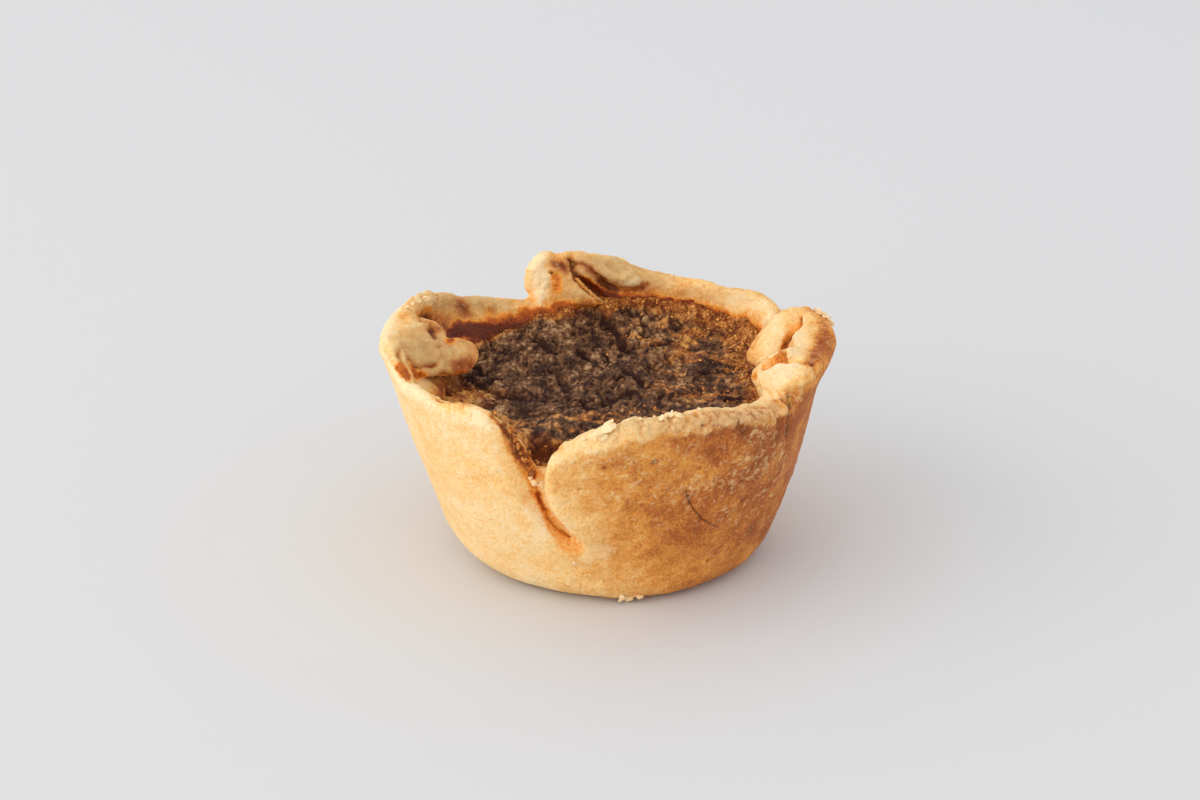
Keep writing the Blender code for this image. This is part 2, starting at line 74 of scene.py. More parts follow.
# Pastry cup: a slightly barrelled cone with a rounded foot
FOOT_RADIUS = 25.46
WALL_SLOPE = 0.294
WALL_BARREL = 0.79
WALL_HEIGHT = 36.0
FOOT_OFFSET = 0.8
FOOT_ROUNDING = 5.7
FOOT_ROUNDING_SWING = 2.2
FOOT_ROUNDING_AZIMUTH = 122.0
INSIDE_FLOOR = 21.5
INNER_CORNER = 3.0
WALL_WAVE = 0.22
LIP_WAVER = 0.12
LIP_ROUNDNESS = 0.46

# The rim flares out where pastry is folded over at the right and at the left
FLARE_FOOT = 30.0
FLARE_TOP = 36.5
FLARE_WIDTH = 26.0
RIGHT_FLARE = 1.9
RIGHT_FLARE_AZIMUTH = 0.0
LEFT_FLARE = 0.35
LEFT_FLARE_AZIMUTH = 184.0

# Height of the lip round the cup: azimuth and height of each turning point
LIP_HEIGHT = (
    (-180, 37.0), (-172, 37.2), (-165, 36.8), (-159, 35.2), (-154.5, 33.8), (-151.5, 34.6),
    (-139, 34.3), (-128, 34.7), (-122, 34.5), (-118.6, 33.6), (-116, 31.8), (-114, 29.2),
    (-112.4, 26.6), (-110.6, 23.8), (-109.2, 22.4), (-107.3, 22.2), (-106.8, 27.2), (-105.6, 28.6),
    (-103, 29.8), (-99.5, 31.5), (-96, 32.4),
    (-91, 33.6), (-82, 35.2), (-72, 35.5), (-61, 35.3), (-49, 34.1), (-39, 32.7), (-33, 33.2),
    (-26, 35.2), (-14, 37.0), (0, 37.6), (11, 37.6), (17, 37.2), (21, 36.2), (24.5, 33.8),
    (28, 33.4), (33, 34.6), (41, 35.1), (55, 34.6), (68, 34.3), (80, 35.2), (88.6, 37.3),
    (97, 37.8), (103, 37.4), (107, 36.4), (110.5, 33.2), (113, 30.8), (122, 31.7), (136, 33.8),
    (143, 35.3), (151, 36.8), (160, 37.0), (170, 36.8),
)

# Thickness of the lip round the cup: thin where a lobe ends, wide where pastry is folded over
LIP_THICKNESS = (
    (-180, 3.4), (-166, 3.2), (-158, 2.8), (-154, 2.0), (-148, 2.0), (-139, 2.8), (-125, 3.8), (-115, 3.2),
    (-108, 2.6), (-103.5, 3.8), (-95, 4.8), (-60, 4.8), (-45, 5.0), (-30, 5.4), (0, 5.6),
    (16, 5.4), (28, 4.6), (45, 5.0), (68, 4.8), (80, 4.0), (90, 3.6), (104, 3.8), (111, 4.4),
    (122, 4.0), (136, 4.2), (158, 3.8),
)

# Thickness of the crust at the filling's edge, where the inner side of each lobe reaches inwards
LEDGE_THICKNESS = (
    (-172, 8.0), (-160, 6.2), (-150, 4.6), (-120, 4.2), (-105, 3.8), (-80, 4.6), (-55, 5.0),
    (-40, 6.5), (-25, 8.5), (0, 9.0), (20, 8.4), (32, 5.6), (48, 4.4), (72, 4.6), (90, 5.2),
    (106, 6.2), (120, 7.0), (147, 7.2), (165, 7.8),
)
WALL_THICKNESS = 3.5
LEDGE_FOOT = 19.0
LEDGE_TOP = 27.5
LIP_BACK = 33.0

# Front seam: a slit that runs down from the notch between the two front lobes
SEAM_AZIMUTH = -107.0
SEAM_FOOT_AZIMUTH = -97.0
SEAM_FOOT = 10.5
SEAM_FADE = 4.5
SEAM_TOP = 20.5
SEAM_SPREAD = 20.0
SEAM_DEPTH = 2.6
SEAM_WIDTH_LOW = 8.0
SEAM_WIDTH_HIGH = 15.0
SEAM_FLAT_SHARE = 0.30
SEAM_SWELL = 1.4
SEAM_SWELL_WIDTH = 12.0
EAR_PROUD = 1.1
EAR_WIDTH = 15.0
EAR_EDGE = 1.5
EAR_EDGE_DROP = 1.7

# Right seam: a shallow crease below the right-hand fold
RIGHT_SEAM_AZIMUTH = -39.5
RIGHT_SEAM_DEPTH = 0.7
RIGHT_SEAM_WIDTH = 1.3
RIGHT_SEAM_FOOT = 26.5
RIGHT_SEAM_FADE = 4.0

# Filling: surface height, its rise to the right and back, and the ring where it meets the crust
FILLING_HEIGHT = 27.8
FILLING_RISE = 1.0
FILLING_RISE_AZIMUTH = 50.0
FILLING_RING = 2.1
FILLING_RING_LEAST = 0.15
FILLING_RING_AZIMUTH = 52.0
FILLING_LUMP = 0.38
FILLING_REACH = 1.0
FILLING_EDGE = 28.4
FILLING_BOTTOM = 20.8
NOTCH_AZIMUTH = -110.0
NOTCH_WIDTH = 10.0
NOTCH_DROP = 4.2
NOTCH_START = 22.0
NOTCH_END = 30.5

# Crust meshing
CUP_AROUND = 720
REMESH_CELL = 0.36
FUSE_ROUNDS = 3
CRUST_TRIANGLES = 192000

# Front view: a pinhole camera that looks down on the tart. Places in the view are in steps of 1/6 mm
VIEW_TILT = 26.0
VIEW_DISTANCE = 470.0
VIEW_FOCUS = 2820.0
VIEW_CENTRE = (605.2, 534.5)
HAIR_REACH = 8.0
PICTURE_WIDTH = 1200.0
PICTURE_HEIGHT = 800.0
SENSOR_WIDTH = 36.0

# Studio: one large soft lamp from the left under an even, bright sky. Distances are in metres
LAMP_AZIMUTH = 206.0
LAMP_ELEVATION = 24.0
LAMP_DISTANCE = 1.3
LAMP_WIDTH = 1.7
LAMP_HEIGHT = 1.3
LAMP_POWER = 9.5
LAMP_AIM = 0.02
SKY_STRENGTH = 0.95
FLOOR_HALF = 2000.0
FLOOR_LEVEL = -0.03

# Small relief of the crust
FLAKE_RISE = 0.10
RAGGED_DEPTH = 0.22
SCALLOP_DEPTH = 0.24
SCALLOP_WIDTH = 0.35
PIT_DEPTH = 0.35
SPLIT_DEPTH = 0.22
CRUMBLE_DEPTH = 1.1
MELTING_ROUNDS = 60

# Relief of the filling: broad hummocks, plates, steps between clods, seams, splits, pocks and streaks
FILLING_HUMMOCK = 0.55
FILLING_PLATE = 0.42
FILLING_STEP = 0.45
FILLING_SEAM = 0.45
FILLING_SPLIT = 0.50
FILLING_POCK = 0.30
FILLING_STREAK = 0.14
RING_GRAIN = 0.45
FILLING_SIDE_GAP = 0.3

# Small pits in the wall: azimuth, height and radius
WALL_PITS = ((-77.0, 28.4, 0.45), (-90.8, 27.7, 0.35), (-55.5, 6.5, 0.35), (-38.1, 9.6, 0.4),
             (-48.3, 17.5, 0.4), (-61.3, 33.7, 0.5), (-98.5, 24.0, 0.3), (-84.0, 21.5, 0.3))
# Shallow scalloped edges on the wall: azimuth and height of the turning points
WALL_SCALLOPS = (
    ((-52.6, 24.6), (-51.0, 23.0), (-51.3, 21.6), (-49.6, 21.0)),
    ((-46.9, 10.6), (-46.2, 8.6), (-47.2, 7.4)),
    ((-64.2, 25.8), (-62.0, 24.6), (-62.4, 22.8)),
    ((-49.5, 18.6), (-47.5, 18.0), (-46.8, 16.8)),
)


def smoothstep(low, high, value):
    """Return a smooth ramp from 0 at low to 1 at high."""
    t = np.clip((value - low) / (high - low), 0.0, 1.0)
    return t * t * (3.0 - 2.0 * t)


def bell(value, width):
    """Return a bell curve, 1 at zero."""
    return np.exp(-(value / width) ** 2)


def turn(angle, centre):
    """Return the signed angle from centre, in degrees between -180 and 180."""
    return (angle - centre + 180.0) % 360.0 - 180.0


def round_table(table, angle, blur=1.2):
    """Read a table of azimuth and value, joined by straight runs and softened over a few degrees."""
    azimuth, value = np.array(table, dtype=float).T
    total = np.zeros_like(angle, dtype=float)
    offsets = (-1.5, -0.75, 0.0, 0.75, 1.5)
    for offset in offsets:
        total += np.interp(angle + offset * blur, azimuth, value, period=360.0)
    return total / len(offsets)


def hashed(cell, seed):
    """Return a repeatable number from 0 to 1 for each whole-number cell."""
    mixed = cell[..., 0] * 73856093 ^ cell[..., 1] * 19349663 ^ cell[..., 2] * 83492791 ^ (seed * 374761393)
    mixed = (mixed ^ (mixed >> 13)) * 1274126177 & 0xFFFFFFFF
    mixed = (mixed ^ (mixed >> 15)) * 2246822519 & 0xFFFFFFFF
    return ((mixed ^ (mixed >> 16)) & 0xFFFFF) / 1048575.0


TILT = np.array(((0.36, 0.48, -0.8), (-0.8, 0.6, 0.0), (0.48, 0.64, 0.6)))


def soft_noise(points, size, seed):
    """Smooth noise from -1 to 1: random values on a lattice of that size, blended between its corners."""
    scaled = points @ TILT.T / size + 31.7
    cell = np.floor(scaled).astype(np.int64)
    part = scaled - cell
    part = part * part * (3.0 - 2.0 * part)
    total = np.zeros(len(points))
    for corner in np.ndindex(2, 2, 2):
        corner = np.array(corner)
        weight = np.prod(np.where(corner == 1, part, 1.0 - part), axis=1)
        total += weight * hashed(cell + corner, seed)
    return 2.0 * total - 1.0


def rough(points, size, octaves, seed, fall=0.5):
    """Rough noise: octaves of soft noise, each half the size of the last and fall times as strong."""
    total = np.zeros(len(points))
    strength = 1.0
    sum_of = 0.0
    for octave in range(octaves):
        turned = points @ np.linalg.matrix_power(TILT, octave)
        total += strength * soft_noise(turned, size / 2.0 ** octave, seed + octave)
        sum_of += strength
        strength *= fall
    return total / sum_of


def cells(points, size, seed):
    """Jittered cells: distance to the nearest and to the second nearest centre, and a number for the cell."""
    scaled = points / size + 17.3
    home = np.floor(scaled).astype(np.int64)
    nearest = np.full(len(points), 9.0)
    second = np.full(len(points), 9.0)
    mark = np.zeros(len(points))
    for step in np.ndindex(3, 3, 3):
        cell = home + np.array(step) - 1
        centre = cell + np.stack([hashed(cell, seed + k) for k in range(3)], axis=1)
        gap = np.linalg.norm(scaled - centre, axis=1)
        closer = gap < nearest
        second = np.where(closer, nearest, np.minimum(second, gap))
        mark = np.where(closer, hashed(cell, seed + 7), mark)
        nearest = np.where(closer, gap, nearest)
    return nearest, second, mark


def line_distance(points, line):
    """Return the distance from each point to a line of straight runs, in any number of dimensions."""
    line = np.array(line, dtype=float)
    start = line[:-1]
    step = line[1:] - start
    gap = points[:, None, :] - start
    along = np.clip(np.einsum("psk,sk->ps", gap, step) / np.sum(step * step, axis=1), 0.0, 1.0)
    return np.linalg.norm(gap - along[..., None] * step, axis=2).min(axis=1)


def view_axes():
    """Return the front view's forward and upward directions."""
    tilt = np.radians(VIEW_TILT)
    return np.array((0.0, np.cos(tilt), -np.sin(tilt))), np.array((0.0, np.sin(tilt), np.cos(tilt)))


def front_view(points):
    """Return where each point falls in the front view: place = centre + focus * offset / depth."""
    forward, upward = view_axes()
    depth = points @ forward + VIEW_DISTANCE
    across = VIEW_CENTRE[0] + VIEW_FOCUS * points[:, 0] / depth
    down = VIEW_CENTRE[1] - VIEW_FOCUS * (points @ upward) / depth
    return np.stack((across, down), axis=1)


def ovals(view, table, soft=0.8):
    """Join oval marks of the front view: each row is across, down, half width, half height, strength."""
    total = np.zeros(len(view))
    for across, down, wide, high, strength in table:
        reach = np.hypot((view[:, 0] - across) / wide, (view[:, 1] - down) / high)
        total = np.maximum(total, strength * smoothstep(1.0 + soft, 1.0 - soft, reach))
    return total


def strokes(view, table, soft=0.8):
    """Join strokes of the front view: each row is a line of places, its half width and its strength."""
    total = np.zeros(len(view))
    for line, wide, strength in table:
        reach = line_distance(view, line) / wide
        total = np.maximum(total, strength * smoothstep(1.0 + soft, 1.0 - soft, reach))
    return total


def hairlines(view, lines):
    """Return how near each point is to a set of thin lines, from 0.5 on the line to 0 and 1 beside it.

    The distance to the nearest line is signed, so that it stays exact between the mesh's points. The
    second value fades the line out towards its ends and away from it.
    """
    offset = np.full(len(view), 9.0)
    strength = np.zeros(len(view))
    for line in lines:
        line = np.array(line, dtype=float)
        start, step = line[:-1], np.diff(line, axis=0)
        gap = view[:, None, :] - start
        along = np.einsum("psk,sk->ps", gap, step) / np.sum(step * step, axis=1)
        rest = gap - np.clip(along, 0.0, 1.0)[..., None] * step
        far = np.linalg.norm(rest, axis=2)
        row = np.arange(len(view))
        nearest = far.argmin(axis=1)
        side = step[nearest, 0] * rest[row, nearest, 1] - step[nearest, 1] * rest[row, nearest, 0]
        distance = np.sign(side) * far[row, nearest]
        travelled = (nearest + along[row, nearest]) / len(step)
        fade = smoothstep(-0.02, 0.12, travelled) * smoothstep(1.03, 0.55, travelled)
        fade = fade * smoothstep(HAIR_REACH, 0.5 * HAIR_REACH, np.abs(distance))
        closer = np.abs(distance) < np.abs(offset)
        offset = np.where(closer, distance, offset)
        strength = np.where(closer, fade, strength)
    return 0.5 + 0.5 * np.clip(offset / HAIR_REACH, -1.0, 1.0), strength


def seam_azimuth(height):
    """Return the azimuth of the front seam at a height: it leans right as it goes down."""
    return SEAM_AZIMUTH + (SEAM_FOOT_AZIMUTH - SEAM_AZIMUTH) * (1.0 - smoothstep(SEAM_FOOT, SEAM_TOP, height))


def true_azimuth(angle, height):
    """Bend the mesh's upright lines so that one of them follows the front seam."""
    lean = seam_azimuth(height) - SEAM_AZIMUTH
    return angle + lean * bell(turn(angle, SEAM_AZIMUTH), SEAM_SPREAD)


def wall_relief(angle, height):
    """Return how far the outer wall stands out or in: seams, the overlapping ear and soft waves."""
    side = turn(angle, SEAM_AZIMUTH)
    alive = smoothstep(SEAM_FOOT, SEAM_FOOT + SEAM_FADE, height)
    width = SEAM_WIDTH_LOW + (SEAM_WIDTH_HIGH - SEAM_WIDTH_LOW) * smoothstep(16.0, 32.0, height)
    left = -SEAM_DEPTH * smoothstep(-1.0, -SEAM_FLAT_SHARE, side / width)
    right = EAR_PROUD * bell(side, EAR_WIDTH) - EAR_EDGE_DROP * bell(side, EAR_EDGE)
    seam = alive * np.where(side < 0.0, left, right)
    crease_side = turn(angle, RIGHT_SEAM_AZIMUTH)
    crease = -RIGHT_SEAM_DEPTH * bell(crease_side, RIGHT_SEAM_WIDTH)
    crease = crease * smoothstep(RIGHT_SEAM_FOOT, RIGHT_SEAM_FOOT + RIGHT_SEAM_FADE, height)
    radians = np.radians(angle)
    wave = np.sin(3.0 * radians + 0.9 + 0.08 * height) + 0.6 * np.sin(5.0 * radians + 2.1 - 0.11 * height)
    flare = RIGHT_FLARE * bell(turn(angle, RIGHT_FLARE_AZIMUTH), FLARE_WIDTH)
    flare = flare + LEFT_FLARE * bell(turn(angle, LEFT_FLARE_AZIMUTH), FLARE_WIDTH)
    flare = flare * smoothstep(FLARE_FOOT, FLARE_TOP, height)
    return seam + crease + flare + WALL_WAVE * wave * smoothstep(2.0, 14.0, height)


def plain_radius(height):
    """Return the radius of the wall's plain barrelled cone."""
    barrel = np.sin(np.pi * np.clip(height / WALL_HEIGHT, 0.0, 1.0))
    return FOOT_RADIUS + WALL_SLOPE * height + WALL_BARREL * barrel


def inner_radius(angle, height):
    """Return the radius of the cup's inner wall, which reaches inwards at the filling's edge."""
    lip = round_table(LIP_THICKNESS, angle)
    ledge = round_table(LEDGE_THICKNESS, angle, blur=3.0)
    thickness = WALL_THICKNESS + (ledge - WALL_THICKNESS) * smoothstep(LEDGE_FOOT, LEDGE_TOP, height)
    thickness = thickness + (lip - ledge) * smoothstep(LEDGE_TOP, LIP_BACK, height)
    side = turn(angle, SEAM_AZIMUTH)
    swell = SEAM_SWELL * bell(side, SEAM_SWELL_WIDTH) * (1.0 - smoothstep(20.0, 27.0, height))
    return plain_radius(height) - thickness - swell


def lip_height(angle):
    """Return the height of the lip, with a slight waver."""
    radians = np.radians(angle)
    waver = np.sin(11.0 * radians + 0.6) + 0.8 * np.sin(17.0 * radians + 2.0) + 0.5 * np.sin(6.0 * radians)
    return round_table(LIP_HEIGHT, angle) + LIP_WAVER * waver


def filling_height(x, y):
    """Return the height of the filling's surface.

    It rises slowly to the back right, has a raised ring at its edge and runs down into the notch.
    """
    radius = np.hypot(x, y)
    azimuth = np.degrees(np.arctan2(y, x))
    heading = np.radians(FILLING_RISE_AZIMUTH)
    rise = FILLING_RISE * (x * np.cos(heading) + y * np.sin(heading)) / 30.0
    facing = np.cos(np.radians(turn(azimuth, FILLING_RING_AZIMUTH)))
    strength = FILLING_RING_LEAST + (1.0 - FILLING_RING_LEAST) * smoothstep(0.15, 0.85, facing)
    ring = FILLING_RING * strength * smoothstep(0.80, 1.02, radius / 30.5)
    lumps = np.sin(0.31 * x + 1.3 * np.sin(0.17 * y)) * np.cos(0.27 * y + 0.4)
    lumps += 0.6 * np.sin(0.52 * x - 0.33 * y + 1.0)
    lumps += 0.7 * np.sin(0.86 * x + 0.45 * y) * np.sin(0.80 * y - 0.52 * x + 0.7)
    drop = NOTCH_DROP * bell(turn(azimuth, NOTCH_AZIMUTH), NOTCH_WIDTH)
    drop = drop * smoothstep(NOTCH_START, NOTCH_END, radius)
    return FILLING_HEIGHT + rise + ring - drop + FILLING_LUMP * lumps


def ring_skin(rings, first_pole, last_pole):
    """Join rings of equal length into a closed skin with a pole at each end: points, quads, triangles."""
    count = len(rings[0])
    points = np.concatenate([*rings, np.array([first_pole, last_pole], dtype=float)])
    here = np.arange(count)
    after = (here + 1) % count
    low = (np.arange(len(rings) - 1) * count)[:, None]
    high = low + count
    quads = np.stack((low + here, low + after, high + after, high + here), axis=-1).reshape(-1, 4)
    bottom = len(rings) * count
    last = (len(rings) - 1) * count
    caps = np.concatenate((np.stack((after, here, np.full(count, bottom)), axis=1),
                           np.stack((last + here, last + after, np.full(count, bottom + 1)), axis=1)))
    return points, [quads, caps]


def cup_skin():
    """Return the cup's skin: a profile carried round the upright axis.

    The profile runs from the middle of the base round the foot's quarter circle, up the wall, over the
    lip's half ellipse and down the inner wall. Radius and height at each step depend on the azimuth.
    """
    angle = np.arange(CUP_AROUND) * 360.0 / CUP_AROUND - 180.0
    rounding = FOOT_ROUNDING + FOOT_ROUNDING_SWING * np.cos(np.radians(turn(angle, FOOT_ROUNDING_AZIMUTH)))
    top = lip_height(angle)
    rise = LIP_ROUNDNESS * round_table(LIP_THICKNESS, angle)
    shoulder = top - rise
    rings = []

    def add(radius, height):
        azimuth = np.radians(true_azimuth(angle, height))
        offset = FOOT_OFFSET * (1.0 - height / WALL_HEIGHT)
        rings.append(np.stack((radius * np.cos(azimuth) + offset, radius * np.sin(azimuth), height), axis=1))

    def outside(height):
        return plain_radius(height) + wall_relief(angle, height)

    level = np.zeros_like(angle)
    for share in (0.33, 0.66):
        add(share * (FOOT_RADIUS - rounding), level)
    for share in np.linspace(0.0, 1.0, 9):
        sweep = np.radians(90.0 * share)
        height = rounding * (1.0 - np.cos(sweep))
        add(outside(height) - rounding * (1.0 - np.sin(sweep)), height)
    for share in np.linspace(0.0, 1.0, 41)[1:]:
        height = rounding + (shoulder - rounding) * share
        add(outside(height), height)
    edge_out = outside(shoulder)
    edge_in = inner_radius(angle, shoulder)
    for share in np.linspace(0.0, 1.0, 15)[1:-1]:
        sweep = np.radians(180.0 * share)
        radius = 0.5 * (edge_out + edge_in) + 0.5 * (edge_out - edge_in) * np.cos(sweep)
        add(radius, shoulder + rise * np.sin(sweep))
    for share in np.linspace(0.0, 1.0, 21):
        height = shoulder + (INSIDE_FLOOR + INNER_CORNER - shoulder) * share
        height = np.maximum(height, INSIDE_FLOOR + 0.1)
        add(inner_radius(angle, height), height)
    for share in (0.6, 0.3):
        add(share * inner_radius(angle, level + INSIDE_FLOOR), level + INSIDE_FLOOR)
    return ring_skin(rings, (FOOT_OFFSET, 0.0, 0.0), (FOOT_OFFSET, 0.0, INSIDE_FLOOR))


def bernstein(order, t):
    """Return the Bernstein weights of an order at each t, one column a control point."""
    weights = [np.ones_like(t)]
    for _ in range(order):
        longer = [weights[0] * (1.0 - t)]
        for index in range(1, len(weights)):
            longer.append(weights[index] * (1.0 - t) + weights[index - 1] * t)
        longer.append(weights[-1] * t)
        weights = longer
    return np.stack(weights, axis=1)


def flap(control, thickness, corner, across=48, along=48):
    """Make a soft-edged flap of dough: a Bezier sheet through a grid of control points.

    Each point of the sheet is moved half the thickness along the sheet's normal, up for one skin and
    down for the other, swelling from nothing at the edge as sqrt((1 - s^4)(1 - t^4)).
    """
    grid = np.array(control, dtype=float)
    s, t = np.meshgrid(-np.cos(np.pi * np.arange(across + 1) / across),
                       -np.cos(np.pi * np.arange(along + 1) / along), indexing="ij")
    plan_s = s * np.sqrt(1.0 - corner * t * t / 2.0)
    plan_t = t * np.sqrt(1.0 - corner * s * s / 2.0)

    def sheet(a, b):
        first = bernstein(grid.shape[0] - 1, 0.5 + 0.5 * a.ravel())
        second = bernstein(grid.shape[1] - 1, 0.5 + 0.5 * b.ravel())
        return np.einsum("pi,pj,ijk->pk", first, second, grid).reshape(a.shape + (3,))

    step = 1e-3
    normal = np.cross(sheet(plan_s + step, plan_t) - sheet(plan_s - step, plan_t),
                      sheet(plan_s, plan_t + step) - sheet(plan_s, plan_t - step))
    normal /= np.linalg.norm(normal, axis=2, keepdims=True)
    swell = np.sqrt(np.clip((1.0 - s ** 4) * (1.0 - t ** 4), 0.0, 1.0))
    half = 0.5 * thickness * swell[..., None] * normal
    centre = sheet(plan_s, plan_t)
    above = (centre + half).reshape(-1, 3)
    below = (centre - half)[1:-1, 1:-1].reshape(-1, 3)
    upper = np.arange((across + 1) * (along + 1)).reshape(across + 1, along + 1)
    lower = upper.copy()
    lower[1:-1, 1:-1] = len(above) + np.arange((across - 1) * (along - 1)).reshape(across - 1, along - 1)
    skins = []
    for skin, order in ((upper, (0, 1, 2, 3)), (lower, (3, 2, 1, 0))):
        quads = np.stack((skin[:-1, :-1], skin[1:, :-1], skin[1:, 1:], skin[:-1, 1:]), axis=-1).reshape(-1, 4)
        skins.append(quads[:, order])
    return np.concatenate((above, below)), skins


def roll(path, radii, around=28, along=48):
    """Make a soft roll of dough: a round section carried along a Bezier path, with domed ends."""
    knots = np.array(path, dtype=float)
    order = len(knots) - 1
    t = 0.5 - 0.5 * np.cos(np.pi * np.arange(along + 1) / along)
    weights = bernstein(order, t)
    centre = weights @ knots
    size = weights @ np.array(radii, dtype=float)
    tangent = bernstein(order, t + 1e-3) @ knots - bernstein(order, t - 1e-3) @ knots
    tangent /= np.linalg.norm(tangent, axis=1, keepdims=True)
    side = np.cross(tangent, (0.0, 0.0, 1.0))
    side /= np.linalg.norm(side, axis=1, keepdims=True)
    lift = np.cross(side, tangent)
    reach = size * np.sqrt(np.clip(1.0 - np.abs(2.0 * t - 1.0) ** 5, 0.0, 1.0))
    sweep = 2.0 * np.pi * np.arange(around) / around
    circle = np.cos(sweep)[None, :, None] * side[:, None] + np.sin(sweep)[None, :, None] * lift[:, None]
    rings = (centre[:, None] + reach[:, None, None] * circle)[1:-1]
    return ring_skin(list(rings), centre[0], centre[-1])


def fold_skins():
    """Return every fold of the rim: at the back, at the left and at the right."""
    triangle = (
        ((-12.2, 33.6, 36.0), (-12.4, 32.0, 33.0), (-11.6, 29.0, 29.0)),
        ((-9.0, 33.6, 37.0), (-8.0, 30.6, 33.8), (-5.2, 27.4, 29.0)),
        ((-6.3, 33.8, 36.9), (-5.2, 28.6, 33.6), (1.4, 27.7, 30.2)),
    )
    head = ((-12.0, 31.4, 30.4), (-12.4, 32.6, 36.4), (-8.4, 34.2, 36.2))
    long_roll = ((-6.0, 33.4, 36.2), (-2.6, 32.8, 36.0), (1.5, 30.9, 33.8), (6.6, 29.8, 33.4))
    tongue = (
        ((-35.1, -3.4, 36.2), (-34.5, -7.0, 35.6), (-33.5, -9.0, 34.2)),
        ((-31.1, 0.6, 35.0), (-30.9, -4.9, 34.6), (-30.5, -8.0, 32.0)),
        ((-25.9, 4.8, 33.0), (-26.0, -0.8, 32.8), (-26.5, -5.6, 30.4)),
        ((-21.4, 8.6, 31.2), (-19.8, 3.5, 30.8), (-21.3, -1.0, 29.2)),
    )
    panel = (
        ((-33.9, 6.8, 36.2), (-33.4, 1.6, 36.6), (-33.2, -4.0, 35.8)),
        ((-30.2, 9.8, 35.2), (-29.6, 4.6, 35.4), (-29.2, -1.0, 34.4)),
        ((-28.2, 11.6, 32.6), (-26.2, 8.0, 33.0), (-25.4, 3.0, 32.2)),
    )
    leaf = (
        ((29.6, 13.6, 35.0), (31.6, 10.6, 37.6), (33.0, 8.0, 36.6)),
        ((27.2, 11.2, 32.8), (28.9, 6.2, 36.6), (30.9, 3.6, 34.6)),
        ((24.4, 7.6, 31.0), (26.4, 1.8, 34.8), (28.9, -0.9, 32.6)),
        ((22.4, 3.4, 29.4), (23.9, -0.6, 31.4), (26.0, -2.6, 30.2)),
    )
    cap = (
        ((22.8, -8.6, 31.0), (23.4, -12.0, 33.4), (24.4, -16.4, 31.8)),
        ((27.4, -4.0, 35.2), (28.2, -10.4, 38.4), (28.8, -18.4, 34.6)),
        ((33.8, -5.8, 35.0), (35.4, -10.6, 36.6), (33.6, -16.8, 34.2)),
    )
    small_lip = ((24.8, -13.4, 30.6), (25.2, -14.2, 33.8), (27.2, -17.4, 34.0), (28.3, -19.0, 31.8))
    return [
        flap(triangle, 1.9, 0.30),
        roll(head, (2.3, 2.3, 1.7)),
        roll(long_roll, (1.3, 1.6, 1.6, 1.5)),
        flap(tongue, 2.4, 0.4),
        flap(panel, 2.2, 0.6),
        flap(leaf, 2.4, 0.5),
        flap(cap, 3.2, 0.7),
        roll(small_lip, (1.2, 1.5, 1.5, 1.2)),
    ]


def new_mesh(name, points, faces):
    """Make a mesh from points in millimetres and arrays of faces with equal corner counts."""
    corners = np.concatenate([group.ravel() for group in faces]).astype(np.int32)
    counts = np.concatenate([np.full(len(group), group.shape[1]) for group in faces]).astype(np.int32)
    mesh = bpy.data.meshes.new(name)
    mesh.vertices.add(len(points))
    mesh.vertices.foreach_set("co", ((points + FRAME_SHIFT) * MM).ravel())
    mesh.loops.add(len(corners))
    mesh.loops.foreach_set("vertex_index", corners)
    mesh.polygons.add(len(counts))
    mesh.polygons.foreach_set("loop_start", np.concatenate(((0,), np.cumsum(counts)[:-1])).astype(np.int32))
    mesh.update(calc_edges=True)
    mesh.shade_smooth()
    return mesh


def new_object(name, mesh, material):
    """Put the mesh in the scene under a name, with its material."""
    for old in [o for o in bpy.data.objects if o.name == name and "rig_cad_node" not in o]:
        bpy.data.objects.remove(old)
    obj = bpy.data.objects.new(name, mesh)
    bpy.context.scene.collection.objects.link(obj)
    mesh.materials.clear()
    mesh.materials.append(material)
    return obj


def joined(skins):
    """Join closed skins into one list of points and faces."""
    points = []
    faces = []
    start = 0
    for spots_of, groups in skins:
        points.append(spots_of)
        faces.extend(group + start for group in groups)
        start += len(spots_of)
    return np.concatenate(points), faces


def outward(skin):
    """Turn a closed skin's faces round where it encloses a negative volume."""
    points, groups = skin
    volume = 0.0
    for group in groups:
        first = points[group[:, 0]]
        for k in range(1, group.shape[1] - 1):
            volume += np.einsum("ij,ij->", first, np.cross(points[group[:, k]], points[group[:, k + 1]]))
    return (points, [group[:, ::-1] for group in groups]) if volume < 0.0 else skin


def modified(mesh, kind, **settings):
    """Return the mesh with a modifier applied, and remove the mesh it came from."""
    name = mesh.name
    obj = bpy.data.objects.new("bench", mesh)
    bpy.context.scene.collection.objects.link(obj)
    modifier = obj.modifiers.new("shape", kind)
    for setting, value in settings.items():
        setattr(modifier, setting, value)
    graph = bpy.context.evaluated_depsgraph_get()
    result = bpy.data.meshes.new_from_object(obj.evaluated_get(graph))
    bpy.data.objects.remove(obj)
    bpy.data.meshes.remove(mesh)
    result.name = name
    return result


def remeshed(name, skins, cell):
    """Fuse overlapping closed skins into one even mesh of that cell size."""
    points, faces = joined([outward(skin) for skin in skins])
    return modified(new_mesh(name, points, faces), "REMESH", mode="VOXEL", voxel_size=cell * MM)


def read_points(mesh):
    """Return the mesh's points in millimetres, in the cup's own frame."""
    flat = np.empty(len(mesh.vertices) * 3)
    mesh.vertices.foreach_get("co", flat)
    return flat.reshape(-1, 3) / MM - FRAME_SHIFT


def write_points(mesh, points):
    """Put points in millimetres, in the cup's own frame, back into the mesh."""
    mesh.vertices.foreach_set("co", ((points + FRAME_SHIFT) * MM).ravel())
    mesh.update()


def read_normals(mesh):
    """Return the mesh's smooth normals."""
    flat = np.empty(len(mesh.vertices) * 3)
    mesh.vertex_normals.foreach_get("vector", flat)
    return flat.reshape(-1, 3)


